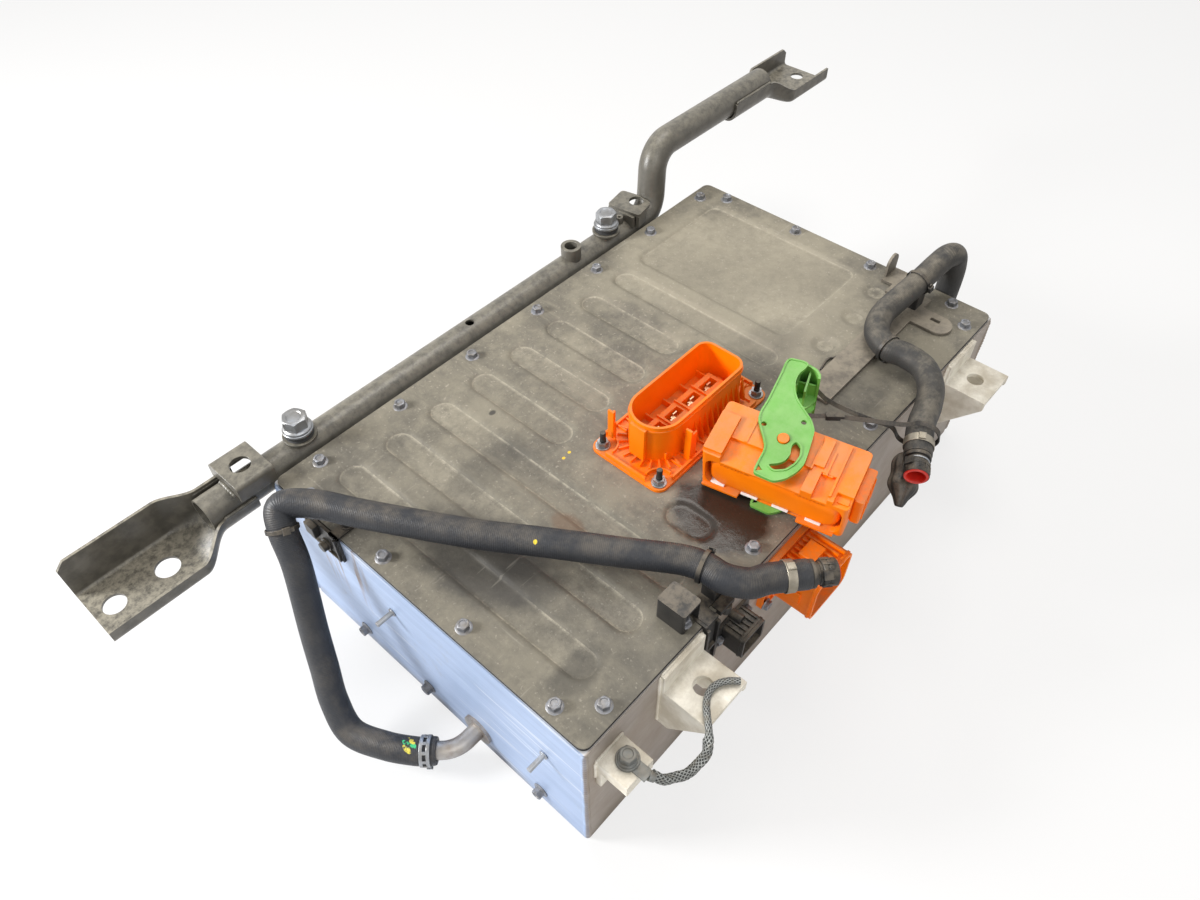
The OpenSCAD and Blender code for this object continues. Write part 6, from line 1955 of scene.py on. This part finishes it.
@dataclass
class View:
    """The photograph's camera, the floor and the lights. The camera is solved from the
    photograph, 1200 by 900 with its centre on the axis; angles in degrees, lens in mm."""

    place: Triple = (-0.5269, -0.3926, 0.8443)
    azimuth: float = 42.287
    drop: float = 48.785
    roll: float = -0.508
    lens: float = 26.994
    sensor: float = 36.0
    middle: Triple = (0.03, 0, 0.12)
    sky: Colour = (1, 0.97, 0.93)
    sky_strength: float = 0.46
    floor_size: float = 12000.0
    floor_grey: float = 0.86
    floor_glow: float = 0.72

    def camera(self) -> None:
        """Adds the camera: heading by azimuth, looking down by drop, turned about its axis."""
        az, el, roll = (math.radians(v) for v in (self.azimuth, self.drop, self.roll))
        flat = math.cos(el)
        ahead = np.array([flat * math.cos(az), flat * math.sin(az), -math.sin(el)])
        right = unit(np.cross(ahead, (0, 0, 1)))
        up = np.cross(right, ahead)
        turn = np.eye(4)
        turn[:3, 0] = right * math.cos(roll) + up * math.sin(roll)
        turn[:3, 1] = -right * math.sin(roll) + up * math.cos(roll)
        turn[:3, 2], turn[:3, 3] = -ahead, self.place
        data = bpy.data.cameras.new("photo_camera")
        data.lens, data.sensor_width = self.lens, self.sensor
        data.clip_start, data.clip_end = 0.02, 50.0
        eye = bpy.data.objects.new("photo_camera", data)
        eye.matrix_world = Matrix(turn.tolist())
        bpy.context.scene.collection.objects.link(eye)
        bpy.context.scene.camera = eye

    def lamp(self, name: str, place: Triple, size: float, watts: float,
             colour: Colour = (1, 1, 1)) -> None:
        """A soft square lamp that points at the middle of the pack.

        Args:
            name: its name.
            place: where it hangs, in metres.
            size: its side in metres.
            watts: its power.
            colour: its colour.
        """
        data = bpy.data.lights.new(name, "AREA")
        data.size, data.energy, data.color = size, watts, colour
        lamp = bpy.data.objects.new(name, data)
        lamp.location = place
        lamp.rotation_mode = "QUATERNION"
        aim = Vector(self.middle) - Vector(place)
        lamp.rotation_quaternion = aim.to_track_quat("-Z", "Y")
        bpy.context.scene.collection.objects.link(lamp)

    def world(self) -> None:
        """White for camera, gloss and transmission rays, a dim pale sky for the rest."""
        world = bpy.data.worlds.new("studio")
        bpy.context.scene.world = world
        world.use_nodes = True
        tree = world.node_tree
        out, sky, white, mix, ray, seen, any_ray = fresh(
            tree, "OutputWorld", "Background", "Background", "MixShader", "LightPath", "Math",
            "Math")
        seen.operation = any_ray.operation = "MAXIMUM"
        for source, target in (
                (ray.outputs["Is Camera Ray"], seen.inputs[0]),
                (ray.outputs["Is Glossy Ray"], seen.inputs[1]),
                (seen.outputs[0], any_ray.inputs[0]),
                (ray.outputs["Is Transmission Ray"], any_ray.inputs[1]),
                (any_ray.outputs[0], mix.inputs[0]),
                (lit(sky, self.sky, self.sky_strength), mix.inputs[1]),
                (lit(white, (1, 1, 1), 1.0), mix.inputs[2]),
                (mix.outputs[0], out.inputs[0])):
            tree.links.new(source, target)

    def floor(self) -> None:
        """A pale floor that shows nearly white and keeps the pack's shadow."""
        h = self.floor_size / 2
        p = np.array([[(-h, -h, -0.5), (-h, h, -0.5)], [(h, -h, -0.5), (h, h, -0.5)]])
        floor = as_object("studio_floor", grid(p))
        material = bpy.data.materials.new("studio_floor")
        material.use_nodes = True
        tree = material.node_tree
        out, matt, glow, mix, ray, part = fresh(
            tree, "OutputMaterial", "BsdfDiffuse", "Emission", "MixShader", "LightPath", "Math")
        matt.inputs[0].default_value = (*[self.floor_grey] * 3, 1)
        part.operation, part.inputs[1].default_value = "MULTIPLY", self.floor_glow
        for source, target in (
                (ray.outputs["Is Camera Ray"], part.inputs[0]),
                (part.outputs[0], mix.inputs[0]),
                (matt.outputs[0], mix.inputs[1]),
                (lit(glow, (1, 1, 1), 1.0), mix.inputs[2]),
                (mix.outputs[0], out.inputs[0])):
            tree.links.new(source, target)
        floor.data.materials.append(material)

    def build(self) -> None:
        """Sets the stage."""
        bpy.context.scene.view_settings.view_transform = "Standard"
        self.camera()
        self.world()
        self.floor()
        self.lamp("key_lamp", (-1.45, 1.15, 1.05), 0.5, 46)
        self.lamp("fill_lamp", (-0.9, -1.3, 1.6), 1.2, 9)
        self.lamp("top_lamp", (0.5, 0.3, 1.9), 0.9, 14, (1, 0.96, 0.9))


def main() -> None:
    """Builds the sub-assemblies in order round the CAD frame."""
    logging.basicConfig(level=logging.INFO, format="%(name)s: %(message)s")
    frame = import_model()
    nodes = frame["nodes"]
    View().build()
    GroundStrap().build(nodes)
    for assembly in (CoverSheet, Fasteners, CarryingTube, CoolantHoses, HighVoltageHeader,
                     LeverPlug, CableTie, WallConnectors, HoseHolders, CaseWelds):
        assembly().build()
    for finish, bevel, names in (
            (CASE, 0.0, ("tray", "cooling_plate", "module_end_plates")),
            (PIPE, 0.0, ("outlet_elbow", "inlet_elbow")),
            (BRACKET, 0.9, ("front_brackets", "rear_brackets", "ground_boss")),
            (TUBE, 0.4, ("tube_sleeves", "tube_bosses")),
            (ZINC, 0.3, ("rail_nuts", "wall_studs")),
            (DULL, 0.3, ("ground_lug",)),
            (SHEET, 0.6, ("hose_bracket_right",)),
            (BLACK, 0.0, ("junction_box",)),
            (WHITE, 0.0, ("contactors", "main_fuse")),
            (SEAL, 0.0, ("cover_gasket", "header_gasket")),
            (FOAM, 0.0, ("insulation_pad",)),
            (CELL, 0.0, ("battery_cells",)),
            (BOARD, 0.0, ("battery_controller",)),
            (CONTACT, 0.0, ("cell_busbars",))):
        for name in names:
            dress(nodes[name], finish, bevel)


if __name__ == "__main__":
    main()
